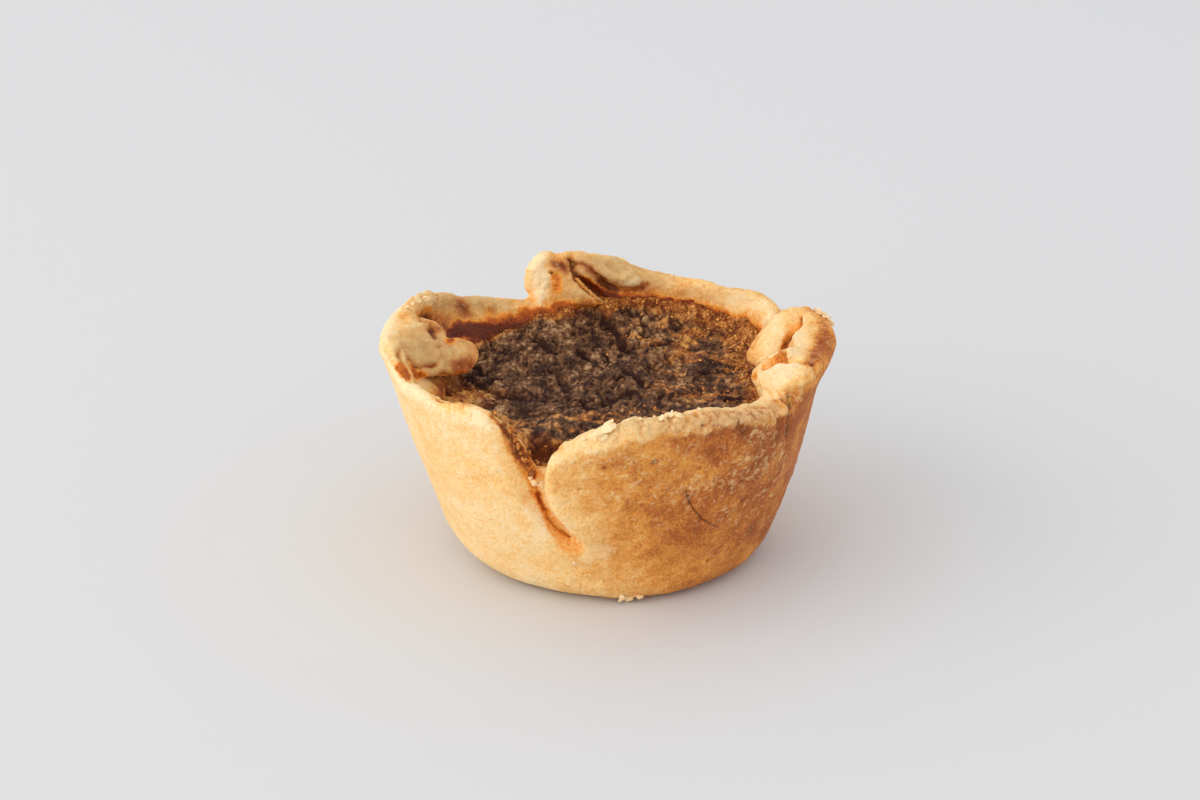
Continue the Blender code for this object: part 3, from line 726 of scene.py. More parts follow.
def read_edges(mesh):
    """Return the pairs of points that share an edge."""
    flat = np.empty(len(mesh.edges) * 2, dtype=np.int32)
    mesh.edges.foreach_get("vertices", flat)
    return flat.reshape(-1, 2)


def averaged(values, edges, rounds, share=0.5):
    """Blend each point's values with the mean of its neighbours', a number of rounds."""
    count = len(values)
    columns = values.reshape(count, -1).copy()
    a, b = edges.T
    degree = np.maximum(np.bincount(a, minlength=count) + np.bincount(b, minlength=count), 1)
    for _ in range(rounds):
        for k in range(columns.shape[1]):
            total = np.bincount(a, columns[b, k], count) + np.bincount(b, columns[a, k], count)
            columns[:, k] = (1.0 - share) * columns[:, k] + share * total / degree
    return columns.reshape(values.shape)


def store(mesh, name, values):
    """Store one number a point on the mesh, for the materials to read."""
    attribute = mesh.attributes.get(name) or mesh.attributes.new(name, "FLOAT", "POINT")
    attribute.data.foreach_set("value", np.clip(values, 0.0, 1.0).astype(np.float32))


# Browning of the outer wall by azimuth, partly real and partly painted light: paler on the left lobe that faces
# the lamp, deeper on the shaded right front lobe
WALL_BROWNING_AND_SHADE = (
    (-180, 0.22), (-150, 0.18), (-125, 0.18), (-112, 0.20), (-105, 0.28), (-92, 0.39), (-75, 0.58),
    (-50, 0.72), (-20, 0.70), (20, 0.58), (70, 0.46), (110, 0.38), (150, 0.28),
)
# How far above the filling syrup has soaked into the crust, by azimuth
SYRUP_BAND = (
    (-180, 0.4), (-150, 0.4), (-120, 0.8), (-106, 1.4), (-98, 0.8), (-60, 0.4), (-20, 0.2), (10, 0.6),
    (35, 1.2), (60, 1.0), (80, 0.9), (95, 0.9), (110, 1.6), (118, 2.4), (130, 2.8), (142, 2.8), (150, 1.4),
    (165, 0.4),
)
# Creases of the rim in the front view: line, half width, depth in millimetres and browning, which is partly
# painted shade in the creases and crevices
CREASES = (
    (((400, 349), (404, 357), (412, 364), (420, 368), (428, 367), (437, 364)), 2.4, 0.45, 0.20),
    (((440, 345), (441, 355), (439, 362), (434, 366)), 2.2, 0.30, 0.10),
    (((421, 314), (428, 320), (433, 329), (434, 336)), 3.6, 0.55, 0.30),
    (((386, 347), (391, 358), (397, 366)), 5.0, 0.5, 0.08),
    (((450, 348), (453, 352), (455, 357)), 1.4, 0.25, 0.12),
    (((570, 256), (574, 267), (578, 278), (589, 287), (600, 295), (612, 303)), 3.2, 1.0, 0.42),
    (((574, 262), (583, 265), (592, 270), (598, 277), (606, 286), (616, 291)), 3.6, 0.55, 0.36),
    (((608, 264), (616, 270), (624, 276), (630, 278)), 3.2, 0.28, 0.12),
    (((554, 262), (561, 262), (567, 269)), 5.0, 0.45, 0.34),
    (((556, 274), (557, 281), (558, 289)), 6.0, 0.45, 0.10),
    (((549, 271), (551, 272)), 1.8, 1.0, 0.6),
    (((618, 290), (630, 291), (641, 289), (647, 284)), 2.6, 0.35, 0.20),
    (((459, 300), (465, 306), (468, 314)), 6.0, 0.10, 0.34),
    (((801, 314), (795, 326), (788, 338), (785, 348), (784, 356), (773, 360), (762, 367)), 2.2, 1.2, 0.26),
    (((797, 320), (790, 330), (786, 340)), 4.5, 0.5, 0.10),
    (((789, 307), (778, 313), (768, 322), (760, 333), (752, 348)), 1.8, 0.30, 0.06),
    (((784, 357), (793, 358), (803, 361), (812, 363)), 2.0, 0.40, 0.10),
    (((812, 362), (816, 368), (818, 376)), 1.6, 0.3, 0.08),
    (((760, 388), (767, 389), (772, 394), (775, 401)), 1.6, 0.30, 0.08),
    (((770, 384), (776, 388), (782, 397), (786, 404)), 1.8, 0.40, 0.10),
    (((789, 396), (791, 406)), 3.0, 0.4, 0.20),
    (((643, 417), (641, 424), (640, 434)), 1.8, 0.3, 0.10),
    (((672, 413), (670, 421), (671, 429)), 1.8, 0.25, 0.10),
    (((618, 425), (619, 433), (616, 441)), 1.8, 0.3, 0.08),
    (((703, 410), (706, 418), (704, 427)), 1.8, 0.25, 0.10),
    (((433, 288), (435, 294), (437, 300)), 2.4, 0.7, 0.16),
    (((495, 414), (506, 428), (515, 443), (524, 459), (531, 475)), 7.0, 0.30, 0.58),
    (((737, 408), (741, 417), (743, 428), (745, 440)), 6.0, 0.2, 0.10),
    # Painted shadow of the ear's edge along the front seam
    (((539, 495), (542, 504), (548, 515), (555, 526), (563, 533), (571, 537)), 2.0, 0.45, 0.30),
)
# Syrup that has run over the crust in the front view, and painted shade in the back crevice, on the left back
# inner wall and in the front seam's channel: line, half width and depth of colour
SYRUP_AND_SHADE_RUNS = (
    (((520, 452), (526, 466), (531, 482), (537, 494)), 5.5, 0.36),
    (((536, 490), (541, 503), (548, 517)), 4.5, 0.34),
    (((548, 517), (556, 530), (564, 541)), 6.5, 0.28),
    (((562, 539), (569, 546), (574, 549)), 8.5, 0.24),
    # Painted shadow of the ear's edge along the front seam
    (((538, 493), (541, 501), (545, 510)), 2.0, 0.62),
    (((797, 319), (791, 328), (786, 340), (782, 352), (773, 358), (763, 364)), 3.0, 0.26),
    (((783, 347), (781, 354), (775, 357)), 2.4, 0.42),
    (((583, 279), (592, 286), (603, 293), (616, 297)), 4.6, 0.84),
    (((618, 297), (632, 299), (650, 299), (668, 300), (690, 303)), 3.4, 0.80),
    (((556, 306), (575, 308), (598, 310)), 6.0, 0.55),
    (((452, 333), (470, 328), (500, 330), (530, 327), (552, 324)), 7.0, 0.90),
)
# Syrup spots in the front view, partly painted shade in the left and back crevices and on the left back inner
# wall: across, down, half width, half height and depth of colour
SYRUP_AND_SHADE_SPOTS = (
    (399, 365, 7, 6, 0.50), (407, 371, 10, 7, 0.57), (415, 375, 8, 5, 0.53), (421, 374, 6, 4, 0.40),
    (556, 277, 6, 6, 0.44), (557, 286, 5, 7, 0.44), (459, 328, 8, 8, 0.88), (474, 332, 14, 7, 0.90),
    (484, 338, 10, 9, 0.90),
    (755, 376, 3.5, 3.5, 0.38), (791, 400, 4, 5, 0.34), (529, 458, 3, 2.5, 0.62), (535, 476, 3, 5, 0.66),
    (425, 309, 6, 2.2, 0.36), (821, 339, 3.5, 3, 0.66), (815, 348, 3, 2.5, 0.58), (818, 361, 2.5, 2.5, 0.55),
    (470, 366, 5, 8, 0.30), (463, 374, 6, 5, 0.52), (572, 312, 5, 3, 0.62),
    (604, 306, 6, 5, 0.75), (594, 318, 6, 4, 0.60), (497, 324, 26, 5, 0.34),
)
# Browner patches of the rim in the front view, partly real browning and partly painted shade on faces turned
# from the lamp: across, down, half width, half height and strength
BROWN_AND_SHADE_PATCHES = (
    (677, 287, 14, 9, 0.16), (640, 262, 16, 5, 0.10), (441, 325, 14, 12, 0.32), (520, 302, 60, 6, 0.08),
    (561, 264, 8, 7, 0.30), (497, 372, 40, 8, 0.12), (508, 436, 8, 14, 0.34), (520, 452, 7, 12, 0.36),
    (714, 456, 16, 8, 0.08), (620, 462, 14, 6, 0.06), (555, 449, 10, 5, 0.30), (800, 395, 12, 10, 0.12),
    (404, 318, 10, 4, 0.16), (392, 350, 6, 16, 0.10), (461, 307, 7, 10, 0.22), (606, 284, 12, 6, 0.25),
    (492, 306, 5, 8, 0.16), (430, 352, 40, 16, 0.14), (604, 266, 24, 9, 0.16), (585, 292, 20, 8, 0.05),
    (440, 300, 36, 8, 0.14), (500, 303, 40, 6, 0.08), (640, 275, 40, 9, 0.10), (650, 290, 8, 6, 0.20),
    (700, 296, 20, 5, 0.14), (745, 372, 12, 16, 0.20), (652, 522, 46, 40, 0.09), (742, 424, 34, 15, 0.12),
)
# Patches of the rim that have baked both brown and crumbly, and the crumbly edge beside the notch
CRUMBLY_PATCHES = (
    (463, 366, 14, 10, 0.44), (452, 378, 14, 9, 0.34), (446, 390, 13, 16, 0.42), (456, 402, 14, 12, 0.40),
    (821, 340, 11, 18, 0.30), (814, 352, 12, 10, 0.26), (581, 312, 30, 9, 0.46), (540, 320, 20, 6, 0.30),
)
CRUMBLY_EDGE = (
    (502, 424, 8, 8, 0.40), (513, 438, 9, 10, 0.50), (522, 454, 8, 11, 0.50), (530, 470, 6, 9, 0.40),
)
# Paler patches in the front view, partly real pale pastry and partly painted light on faces turned to the lamp
PALE_AND_LIT_PATCHES = (
    (700, 300, 16, 8, 0.18), (740, 303, 22, 10, 0.24), (772, 333, 12, 24, 0.21), (785, 374, 22, 14, 0.34),
    (768, 392, 12, 8, 0.22), (800, 342, 9, 18, 0.20), (539, 280, 8, 26, 0.34), (390, 326, 8, 18, 0.18),
    (418, 388, 15, 8, 0.20), (634, 284, 13, 6, 0.24), (540, 470, 10, 60, 0.04), (600, 435, 26, 8, 0.06),
    (456, 350, 12, 7, 0.20), (420, 352, 18, 13, 0.10), (580, 292, 18, 7, 0.18), (402, 384, 8, 8, 0.20),
    (414, 324, 12, 9, 0.08), (445, 335, 7, 4, 0.24), (581, 270, 5, 4, 0.20), (612, 276, 16, 4, 0.06),
    (722, 562, 40, 20, 0.10), (424, 299, 16, 8, 0.12), (470, 296, 22, 7, 0.08), (520, 306, 26, 5, 0.10),
)
# Bare floury patches in the front view
FLOUR_PATCHES = (
    (598, 550, 15, 8, 0.34), (588, 558, 9, 6, 0.34), (574, 563, 3, 4, 0.24), (620, 597, 14, 4, 0.20),
    (640, 598, 9, 4, 0.20), (539, 483, 5, 4, 0.40), (590, 470, 30, 26, 0.10), (700, 455, 60, 18, 0.07),
)
# Painted shade: dull tan parts of the rim in the front view, on back and left faces that the lamp reaches less
SHADE_TAN_PATCHES = (
    (430, 354, 38, 26, 0.62), (465, 300, 62, 14, 0.50), (572, 284, 22, 26, 0.45), (606, 268, 44, 18, 0.66),
    (650, 280, 26, 14, 0.50), (700, 294, 50, 10, 0.36), (655, 424, 52, 12, 0.46), (735, 418, 40, 18, 0.40),
    (812, 340, 22, 26, 0.18), (500, 312, 60, 10, 0.30),
)
# Places in the front view where a fold's edge has melted into the rim
MELTED = ((406, 362, 12, 22, 1.0), (441, 388, 9, 16, 1.0), (586, 288, 22, 16, 0.8), (598, 297, 12, 8, 0.8))
# Lumps that stand up from the rim in the front view: across, down, half width, half height, millimetres
BUMPS = ((419, 302, 14, 10, 0.85), (409, 309, 8, 8, 0.5), (590, 434, 16, 6, 0.35), (672, 418, 18, 5, 0.30))
# Where folding has crumpled the rim in the front view
CRUMPLES = ((428, 350, 44, 32, 1.0), (585, 282, 52, 24, 0.8), (806, 350, 30, 42, 0.7), (520, 318, 60, 12, 0.5))
# Thin cracks in the front view, painted darker in the material, partly as the shade inside each crack
HAIRLINES = (
    ((685.5, 488), (687.5, 496), (690, 503), (694, 508), (699, 514), (703, 520), (711, 524), (720, 528),
     (733, 533)),
    ((787.5, 403), (790.5, 409), (789, 418), (788, 428), (787, 438), (786, 450)),
)


def wall_place(line):
    """Turn azimuths and heights on the wall into millimetres round it and up."""
    line = np.array(line, dtype=float)
    return np.stack((np.radians(line[:, 0]) * plain_radius(line[:, 1]), line[:, 1]), axis=1)


def crust_points(points, normals, edges, sizes):
    """Rough up the fused crust and work out its browning, flour, syrup and thin cracks, with painted light and
    shade laid into the browning, the syrup and a dull tan.

    Edges that have melted into the rim are blended with their neighbours. Each point is then moved along
    its normal by the sum of broad waves, lumps, grain, thin flakes, pits, creases, splits, bumps, crumples
    and a crumbly raggedness at the rim. Returns the points and the fields.
    """
    x, y, z = points.T
    centre_x = x - FOOT_OFFSET * (1.0 - z / WALL_HEIGHT)
    radius = np.hypot(centre_x, y)
    azimuth = np.degrees(np.arctan2(y, centre_x))
    facing = (normals[:, 0] * centre_x + normals[:, 1] * y) / np.maximum(radius, 1.0)
    forward, _ = view_axes()
    soft_normals = averaged(normals, edges, 6)
    shown = smoothstep(-0.05, 0.25, -(soft_normals @ forward))
    top = round_table(LIP_HEIGHT, azimuth)
    wall = smoothstep(-0.1, 0.35, facing) * smoothstep(-2.5, -1.0, radius - plain_radius(z) + 1.2)
    rim = smoothstep(3.4, 0.8, top - z) * smoothstep(26.0, 31.0, z)
    resting = smoothstep(-0.75, -0.95, normals[:, 2]) * smoothstep(1.2, 0.5, z)
    hidden = smoothstep(24.5, 23.0, z) * smoothstep(0.2, -0.2, facing)
    free = (1.0 - resting) * (1.0 - hidden)
    lobe = smoothstep(-106.0, -100.0, azimuth) * smoothstep(-20.0, -40.0, azimuth)
    arc = np.stack((np.radians(azimuth) * radius, z), axis=1)

    bend = np.stack((soft_noise(points, 1.3, 61) + 0.6 * soft_noise(points, 0.6, 63),
                     soft_noise(points, 1.3, 62) + 0.6 * soft_noise(points, 0.6, 64)), axis=1)
    exact = front_view(points)
    view = exact + 1.6 * bend
    strip = lobe * smoothstep(3.0, 1.9, top - z + 0.9 * rough(points, 2.5, 2, 47)) * smoothstep(24.0, 30.0, z)
    move = sizes["wave"] * rough(points, 13.0, 2, 11)
    move += sizes["lump"] * rough(points, 4.6, 3, 14) * (0.5 + 0.5 * lobe + 0.5 * rim)
    move += sizes["grain"] * rough(points, 1.1, 2, 18) * (0.4 + 0.8 * lobe + 1.2 * rim)
    flake_field = rough(points * (1.0, 1.0, 1.2), 2.1, 3, 25, 0.6)
    flake = smoothstep(0.10, 0.18, flake_field) * smoothstep(-0.1, 0.4, rough(points, 6.5, 2, 58) + 0.3 * lobe)
    move += FLAKE_RISE * flake * wall
    crust_cell, _, _ = cells(points, 1.5, 49)
    move += strip * (0.16 + 0.30 * (0.5 - crust_cell) + 0.22 * rough(points, 1.5, 2, 27))
    ragged = rough(points * (0.6, 0.6, 1.0), 3.0, 3, 29)
    move -= RAGGED_DEPTH * rim * smoothstep(0.02, 0.12, np.abs(ragged)) * (0.3 + 0.7 * (ragged > 0.0))
    for line in WALL_SCALLOPS:
        edge = line_distance(arc + 0.3 * bend, wall_place(line))
        move -= SCALLOP_DEPTH * bell(edge, SCALLOP_WIDTH) * wall
    pits = np.zeros(len(points))
    for pit_azimuth, pit_height, pit_radius in WALL_PITS:
        spot = np.array((np.radians(pit_azimuth) * plain_radius(pit_height), pit_height))
        pits = np.maximum(pits, bell(np.linalg.norm(arc - spot, axis=1), pit_radius))
    pits = pits * wall
    move -= PIT_DEPTH * pits
    crease_brown_and_shade = np.zeros(len(points))
    for line, width, depth, brown in CREASES:
        cut = bell(line_distance(view, line), width) * shown
        move -= depth * cut
        crease_brown_and_shade = np.maximum(crease_brown_and_shade, brown * cut)
    crack, crack_strength = hairlines(exact + 0.9 * bend, HAIRLINES)
    split = bell((crack - 0.5) * 2.0 * HAIR_REACH, 2.4) * crack_strength * shown
    move -= SPLIT_DEPTH * split
    lumps = ovals(view, BUMPS, 0.6) * shown
    move += lumps * (1.0 + 0.9 * rough(points, 1.0, 3, 97))
    crumbly = ovals(view, CRUMBLY_PATCHES + CRUMBLY_EDGE, 0.5) * shown
    move += CRUMBLE_DEPTH * crumbly * (0.5 - crust_cell)
    crumpled = ovals(view, CRUMPLES, 0.4) * shown * (1.0 - wall)
    folded = soft_noise(points, 4.6, 91) + 0.5 * soft_noise(points, 2.2, 92)
    move += crumpled * (1.0 * (0.32 - np.abs(folded)) + 0.40 * rough(points, 1.8, 3, 93))
    melted = ovals(exact, MELTED, 0.5) * shown
    points = points + melted[:, None] * (averaged(points, edges, MELTING_ROUNDS) - points)
    points = points + soft_normals * (move * free)[:, None]

    relief = np.einsum("ij,ij->i", points - averaged(points, edges, 14), normals)
    deep = np.einsum("ij,ij->i", points - averaged(points, edges, 60), normals)
    valley_shade = smoothstep(-0.03, -0.30, relief)
    hollow = smoothstep(-0.15, -0.9, deep)
    ridge_light = smoothstep(0.02, 0.20, relief)

    # Browning by azimuth, with painted light on the lit left lobe and painted shade on the right front lobe
    browning = round_table(WALL_BROWNING_AND_SHADE, azimuth, blur=4.0)
    browning = browning * wall + (1.0 - wall) * (0.38 + 0.08 * smoothstep(-30, 20, y - 0.4 * x))
    browning += 0.11 * rough(points, 8.0, 2, 41) + 0.10 * rough(points, 2.6, 3, 44)
    browning += 0.05 * smoothstep(14.0, 28.0, z) * lobe - 0.04 * smoothstep(8.0, 2.0, z)
    browning -= 0.15 * strip
    browning -= 0.14 * rim * (1.0 - lobe)
    # Painted shade and light: the relief's valleys are browner and its ridges paler
    browning += 0.22 * valley_shade - 0.10 * ridge_light
    # Painted light and shade: brown patches darken faces in shade and pale patches lighten faces turned to the
    # lamp, each partly real colour
    browning += ovals(view, BROWN_AND_SHADE_PATCHES + CRUMBLY_PATCHES) * shown - ovals(view, PALE_AND_LIT_PATCHES) * shown
    # Painted shade: creases and pits are browner
    browning += crease_brown_and_shade + 0.25 * pits
    browning = np.clip(browning, 0.0, 1.0)

    # Painted shade: a dull tan on the rim's back and left faces, and a little on faces the front view does not
    # show
    dun = np.maximum(ovals(view, SHADE_TAN_PATCHES, 0.7) * shown, 0.25 * (1.0 - shown))
    dun *= np.maximum(1.0 - wall, strip) * smoothstep(0.95, 0.45, browning)

    flour = 0.07 * smoothstep(-0.3, 0.5, rough(points, 6.0, 2, 73)) * wall + 0.04 * flake * wall
    flour += 0.06 * lobe * wall * smoothstep(8.0, 24.0, z)
    flour = np.maximum(flour, 0.14 * strip + 0.08 * rim)
    flour = np.maximum(flour, ovals(view, FLOUR_PATCHES, 0.5) * shown)

    band = round_table(SYRUP_BAND, azimuth, blur=3.0)
    soak = filling_height(x, y) + band - z + 1.1 * rough(points, 1.8, 3, 81)
    # Syrup colour: a real soaked band above the filling, then runs, spots and deep hollows near the filling
    # that are partly painted shade
    syrup = 0.74 * smoothstep(-0.6, 2.0, soak) * (1.0 - wall) * smoothstep(22.0, 25.0, z)
    syrup = np.maximum(syrup, strokes(view, SYRUP_AND_SHADE_RUNS, 0.45) * shown)
    syrup = np.maximum(syrup, ovals(view, SYRUP_AND_SHADE_SPOTS, 0.5) * shown)
    syrup = np.maximum(syrup, 0.40 * hollow * (1.0 - wall) * smoothstep(26.0, 29.0, z))
    dun = dun * smoothstep(0.30, 0.05, syrup)
    fields = {"browning": browning, "flour": flour, "syrup": syrup, "crack": crack,
              "crack_strength": crack_strength * shown, "dun": dun}
    return points, fields


def make_crust(sizes):
    """Fuse the cup and its folds, soften the joints, and rough up the surface."""
    mesh = remeshed("pastry_crust", [cup_skin(), *fold_skins()], REMESH_CELL)
    edges = read_edges(mesh)
    points = averaged(read_points(mesh), edges, FUSE_ROUNDS)
    points[:, 2] = np.maximum(points[:, 2], 0.0)
    write_points(mesh, points)
    points, fields = crust_points(points, read_normals(mesh), edges, sizes)
    points[:, 2] = np.maximum(points[:, 2], 0.0)
    write_points(mesh, points)
    for name, values in fields.items():
        store(mesh, name, values)
    mesh = modified(mesh, "DECIMATE", ratio=min(1.0, CRUST_TRIANGLES / (2 * len(mesh.polygons))))
    mesh.shade_smooth()
    return mesh


# Cracks in the filling, carved and painted dark as shade: plan points of each line, width and depth
FILLING_CRACKS = (
    (((0.1, 25.7), (1.8, 19.4), (3.1, 14.0), (5.1, 10.5)), 1.0, 1.5),
    (((8.5, 13.1), (9.8, 14.0), (10.8, 15.8)), 1.3, 2.0),
    (((-4.5, 11.4), (-2.5, 10.1), (-0.9, 7.0)), 0.7, 1.1),
    (((-8.4, 4.5), (-7.3, 1.1), (-6.7, -2.2)), 0.6, 1.1),
    (((-20.0, 1.1), (-18.6, -3.1), (-16.2, -6.4), (-14.3, -7.2)), 0.8, 1.3),
    (((-19.9, -10.4), (-18.0, -8.8)), 0.8, 1.1),
    (((-11.9, 17.6), (-10.1, 14.9), (-8.8, 11.4)), 0.9, 1.3),
    (((-4.5, -7.2), (-2.9, -10.8)), 0.6, 1.1),
    (((-0.5, -9.2), (1.7, -7.2), (4.3, -4.7)), 0.8, 1.2),
    (((3.1, 2.8), (5.0, 0.3), (7.2, -2.2)), 0.8, 1.2),
    (((16.8, 2.4), (20.0, 2.8)), 0.6, 0.9),
    (((19.6, -9.2), (21.5, -8.0)), 1.0, 1.8),
    (((-11.0, -23.6), (-9.0, -23.4), (-6.6, -22.4)), 1.1, 2.0),
    (((-20.5, 4.5), (-22.0, 8.4), (-21.8, 12.4)), 0.9, 1.4),
    (((-2.6, 20.3), (-0.9, 13.6)), 0.6, 0.8),
    (((-9.5, 5.4), (-5.5, 6.4)), 3.4, 0.35),
    (((-18.0, 9.0), (-14.0, 12.0)), 2.6, 0.30),
    (((-6.0, -5.5), (-1.0, -4.0)), 2.6, 0.30),
)
# Golden patches in the filling: x, y, length, width, heading and strength
GOLD_PATCHES = (
    (14.0, 16.0, 8.0, 3.2, 75.0, 0.9), (10.0, 0.6, 3.6, 1.2, 35.0, 0.8), (14.2, -6.0, 3.6, 1.3, 38.0, 0.9),
    (17.4, -7.8, 4.6, 1.5, 25.0, 0.9), (18.6, 7.0, 4.0, 2.2, 80.0, 0.5), (13.2, 24.5, 6.0, 3.0, 20.0, 0.6),
    (21.5, 17.5, 6.5, 3.6, 110.0, 0.8), (9.0, 6.0, 3.0, 1.2, 40.0, 0.4), (6.0, -6.5, 4.5, 1.1, 30.0, 0.35),
    (19.5, 1.0, 4.2, 1.3, 20.0, 0.5), (-16.0, -12.5, 7.0, 1.8, 150.0, 0.35), (-3.0, -15.5, 7.0, 1.6, 15.0, 0.3),
    (7.5, 13.0, 5.0, 3.0, 60.0, 0.45), (24.0, 3.0, 7.0, 2.6, 80.0, 0.7), (12.0, 9.5, 6.0, 2.0, 50.0, 0.6),
    (5.9, 18.5, 5.5, 4.4, 80.0, 0.55),
)

# Paler places in the filling: x, y, radius and how much paler; the row below zero is painted shade in the dark
# gap at the notch
LIGHT_PATCHES = (
    (5.8, 18.9, 4.5, 0.30), (-23.8, -7.1, 5.0, 0.42), (-11.0, -27.0, 3.6, 0.40), (-15.0, -22.0, 4.0, 0.15),
    (-9.0, -23.2, 1.8, -0.40), (10.0, 12.0, 5.0, 0.06),
)


def disc_grid(count):
    """Map a square grid onto the unit disc: x = u sqrt(1 - v v / 2), y = v sqrt(1 - u u / 2)."""
    u, v = np.meshgrid(np.linspace(-1.0, 1.0, count), np.linspace(-1.0, 1.0, count), indexing="ij")
    return u * np.sqrt(1.0 - 0.5 * v * v), v * np.sqrt(1.0 - 0.5 * u * u)


def filling_relief(plan, sizes):
    """Return the filling's crust relief, its tone from 0 to 1, lowered in the cracks as painted shade and
    raised on grain tops as a partly painted sheen, and its gold.

    The relief is a sum of hummocks, flat plates, thin cracks where a noise crosses zero, sugar grains of
    two sizes and the named cracks.
    """
    flat = np.concatenate((plan, np.zeros((len(plan), 1))), axis=1)
    blank = np.zeros(len(plan))
    warp = np.stack((soft_noise(flat, 2.6, 101), soft_noise(flat, 2.6, 102), blank), axis=1)
    fine = np.stack((rough(flat, 0.9, 2, 103), rough(flat, 0.9, 2, 105), blank), axis=1)
    bent = flat + 0.9 * warp + 0.8 * fine
    long = flat * (1.0, 0.6, 1.0)
    calm = smoothstep(3.0, 12.0, plan[:, 0] - 0.35 * plan[:, 1] - 1.0) * smoothstep(26.0, 12.0, plan[:, 1])
    calm = np.maximum(calm, smoothstep(-9.0, -15.0, plan[:, 1]))
    near, second, mark = cells(bent, sizes["clod"], 111)
    seam = 1.0 - smoothstep(0.0, 0.10, second - near)
    seam *= smoothstep(0.0, 0.35, rough(flat, 5.0, 2, 115))
    split = 1.0 - smoothstep(0.01, 0.055, np.abs(rough(bent, 4.5, 3, 127)))
    split *= smoothstep(0.0, 0.30, rough(flat, 4.0, 2, 129))
    near3, _, mark3 = cells(long + 0.3 * fine, 0.95, 131)
    near4, _, mark4 = cells(long + 3.0, 0.55, 135)
    pocked = smoothstep(0.20, 0.55, rough(long, 1.3, 3, 137))
    across = np.array(((0.94, -0.34, 0.0), (0.34, 0.94, 0.0), (0.0, 0.0, 1.0)))
    streaks = rough((flat @ across.T) * (0.35, 1.6, 1.0), 1.9, 3, 155, 0.65)
    move = FILLING_HUMMOCK * rough(flat, 8.0, 2, 141)
    move += FILLING_PLATE * rough(long, 2.6, 3, 145, 0.6) * (1.0 - 0.3 * calm)
    move += FILLING_STEP * (mark - 0.5) * (1.0 - 0.6 * calm)
    move -= (FILLING_SEAM * seam + FILLING_SPLIT * split) * (1.0 - 0.7 * calm) + FILLING_POCK * pocked
    grains = (0.5 - near3) * (0.5 + mark3) + 0.6 * (0.5 - near4) * (0.4 + mark4)
    move += 1.4 * sizes["crumb"] * grains * (1.0 - 0.3 * calm)
    move += FILLING_STREAK * streaks * calm
    # Painted shade: the tone is darker in seams, splits and pocks, and below in the named cracks
    depth = np.maximum(0.55 * seam, 0.6 * split) * (1.0 - 0.6 * calm) + 0.25 * pocked
    jitter = plan + 0.5 * warp[:, :2] + 0.8 * fine[:, :2]
    for line, width, deep in FILLING_CRACKS:
        cut = bell(line_distance(jitter, line), 0.75 * width)
        move -= 0.6 * deep * cut
        depth = np.maximum(depth, min(1.2, 0.85 * deep) * cut)
    speck = rough(long, 0.65, 2, 151, 0.7)
    bright = 0.50 + 0.62 * speck + 0.34 * rough(long, 2.2, 2, 153) + 0.30 * (0.5 - near4) + 0.15 * (mark3 - 0.5)
    bright += 0.35 * streaks * calm
    for x, y, wide, lift in LIGHT_PATCHES:
        bright += lift * bell(np.hypot(plan[:, 0] - x, plan[:, 1] - y), wide)
    # Tone: lighter on grain tops, partly a painted sheen, and darker in the cracks as painted shade
    tops = np.clip(bright - depth, 0.0, 1.0)
    gold = np.zeros(len(plan))
    for x, y, length, width, heading, strength in GOLD_PATCHES:
        angle = np.radians(heading)
        along = ((bent[:, 0] - x) * np.cos(angle) + (bent[:, 1] - y) * np.sin(angle)) / length
        aside = ((bent[:, 1] - y) * np.cos(angle) - (bent[:, 0] - x) * np.sin(angle)) / width
        gold = np.maximum(gold, strength * np.exp(-along ** 2 - aside ** 2))
    gold = gold * smoothstep(-0.35, 0.15, streaks + 0.3 * speck)
    gold = np.maximum(gold, 0.60 * calm * smoothstep(-0.15, 0.35, streaks + 0.35 * speck))
    return move, tops, gold


# How far in from the filling's edge its caramel ring reaches, by azimuth
CARAMEL_RING = (
    (-180, 8.0), (-166, 15.0), (-150, 13.0), (-138, 7.0), (-128, 12.0), (-118, 15.0), (-108, 10.0), (-99, 2.4),
    (-60, 1.6), (-35, 4.0), (-15, 6.0), (10, 7.0), (35, 8.5), (55, 8.0), (70, 4.6), (85, 3.0), (100, 4.6),
    (112, 2.6), (135, 1.4), (160, 3.0),
)


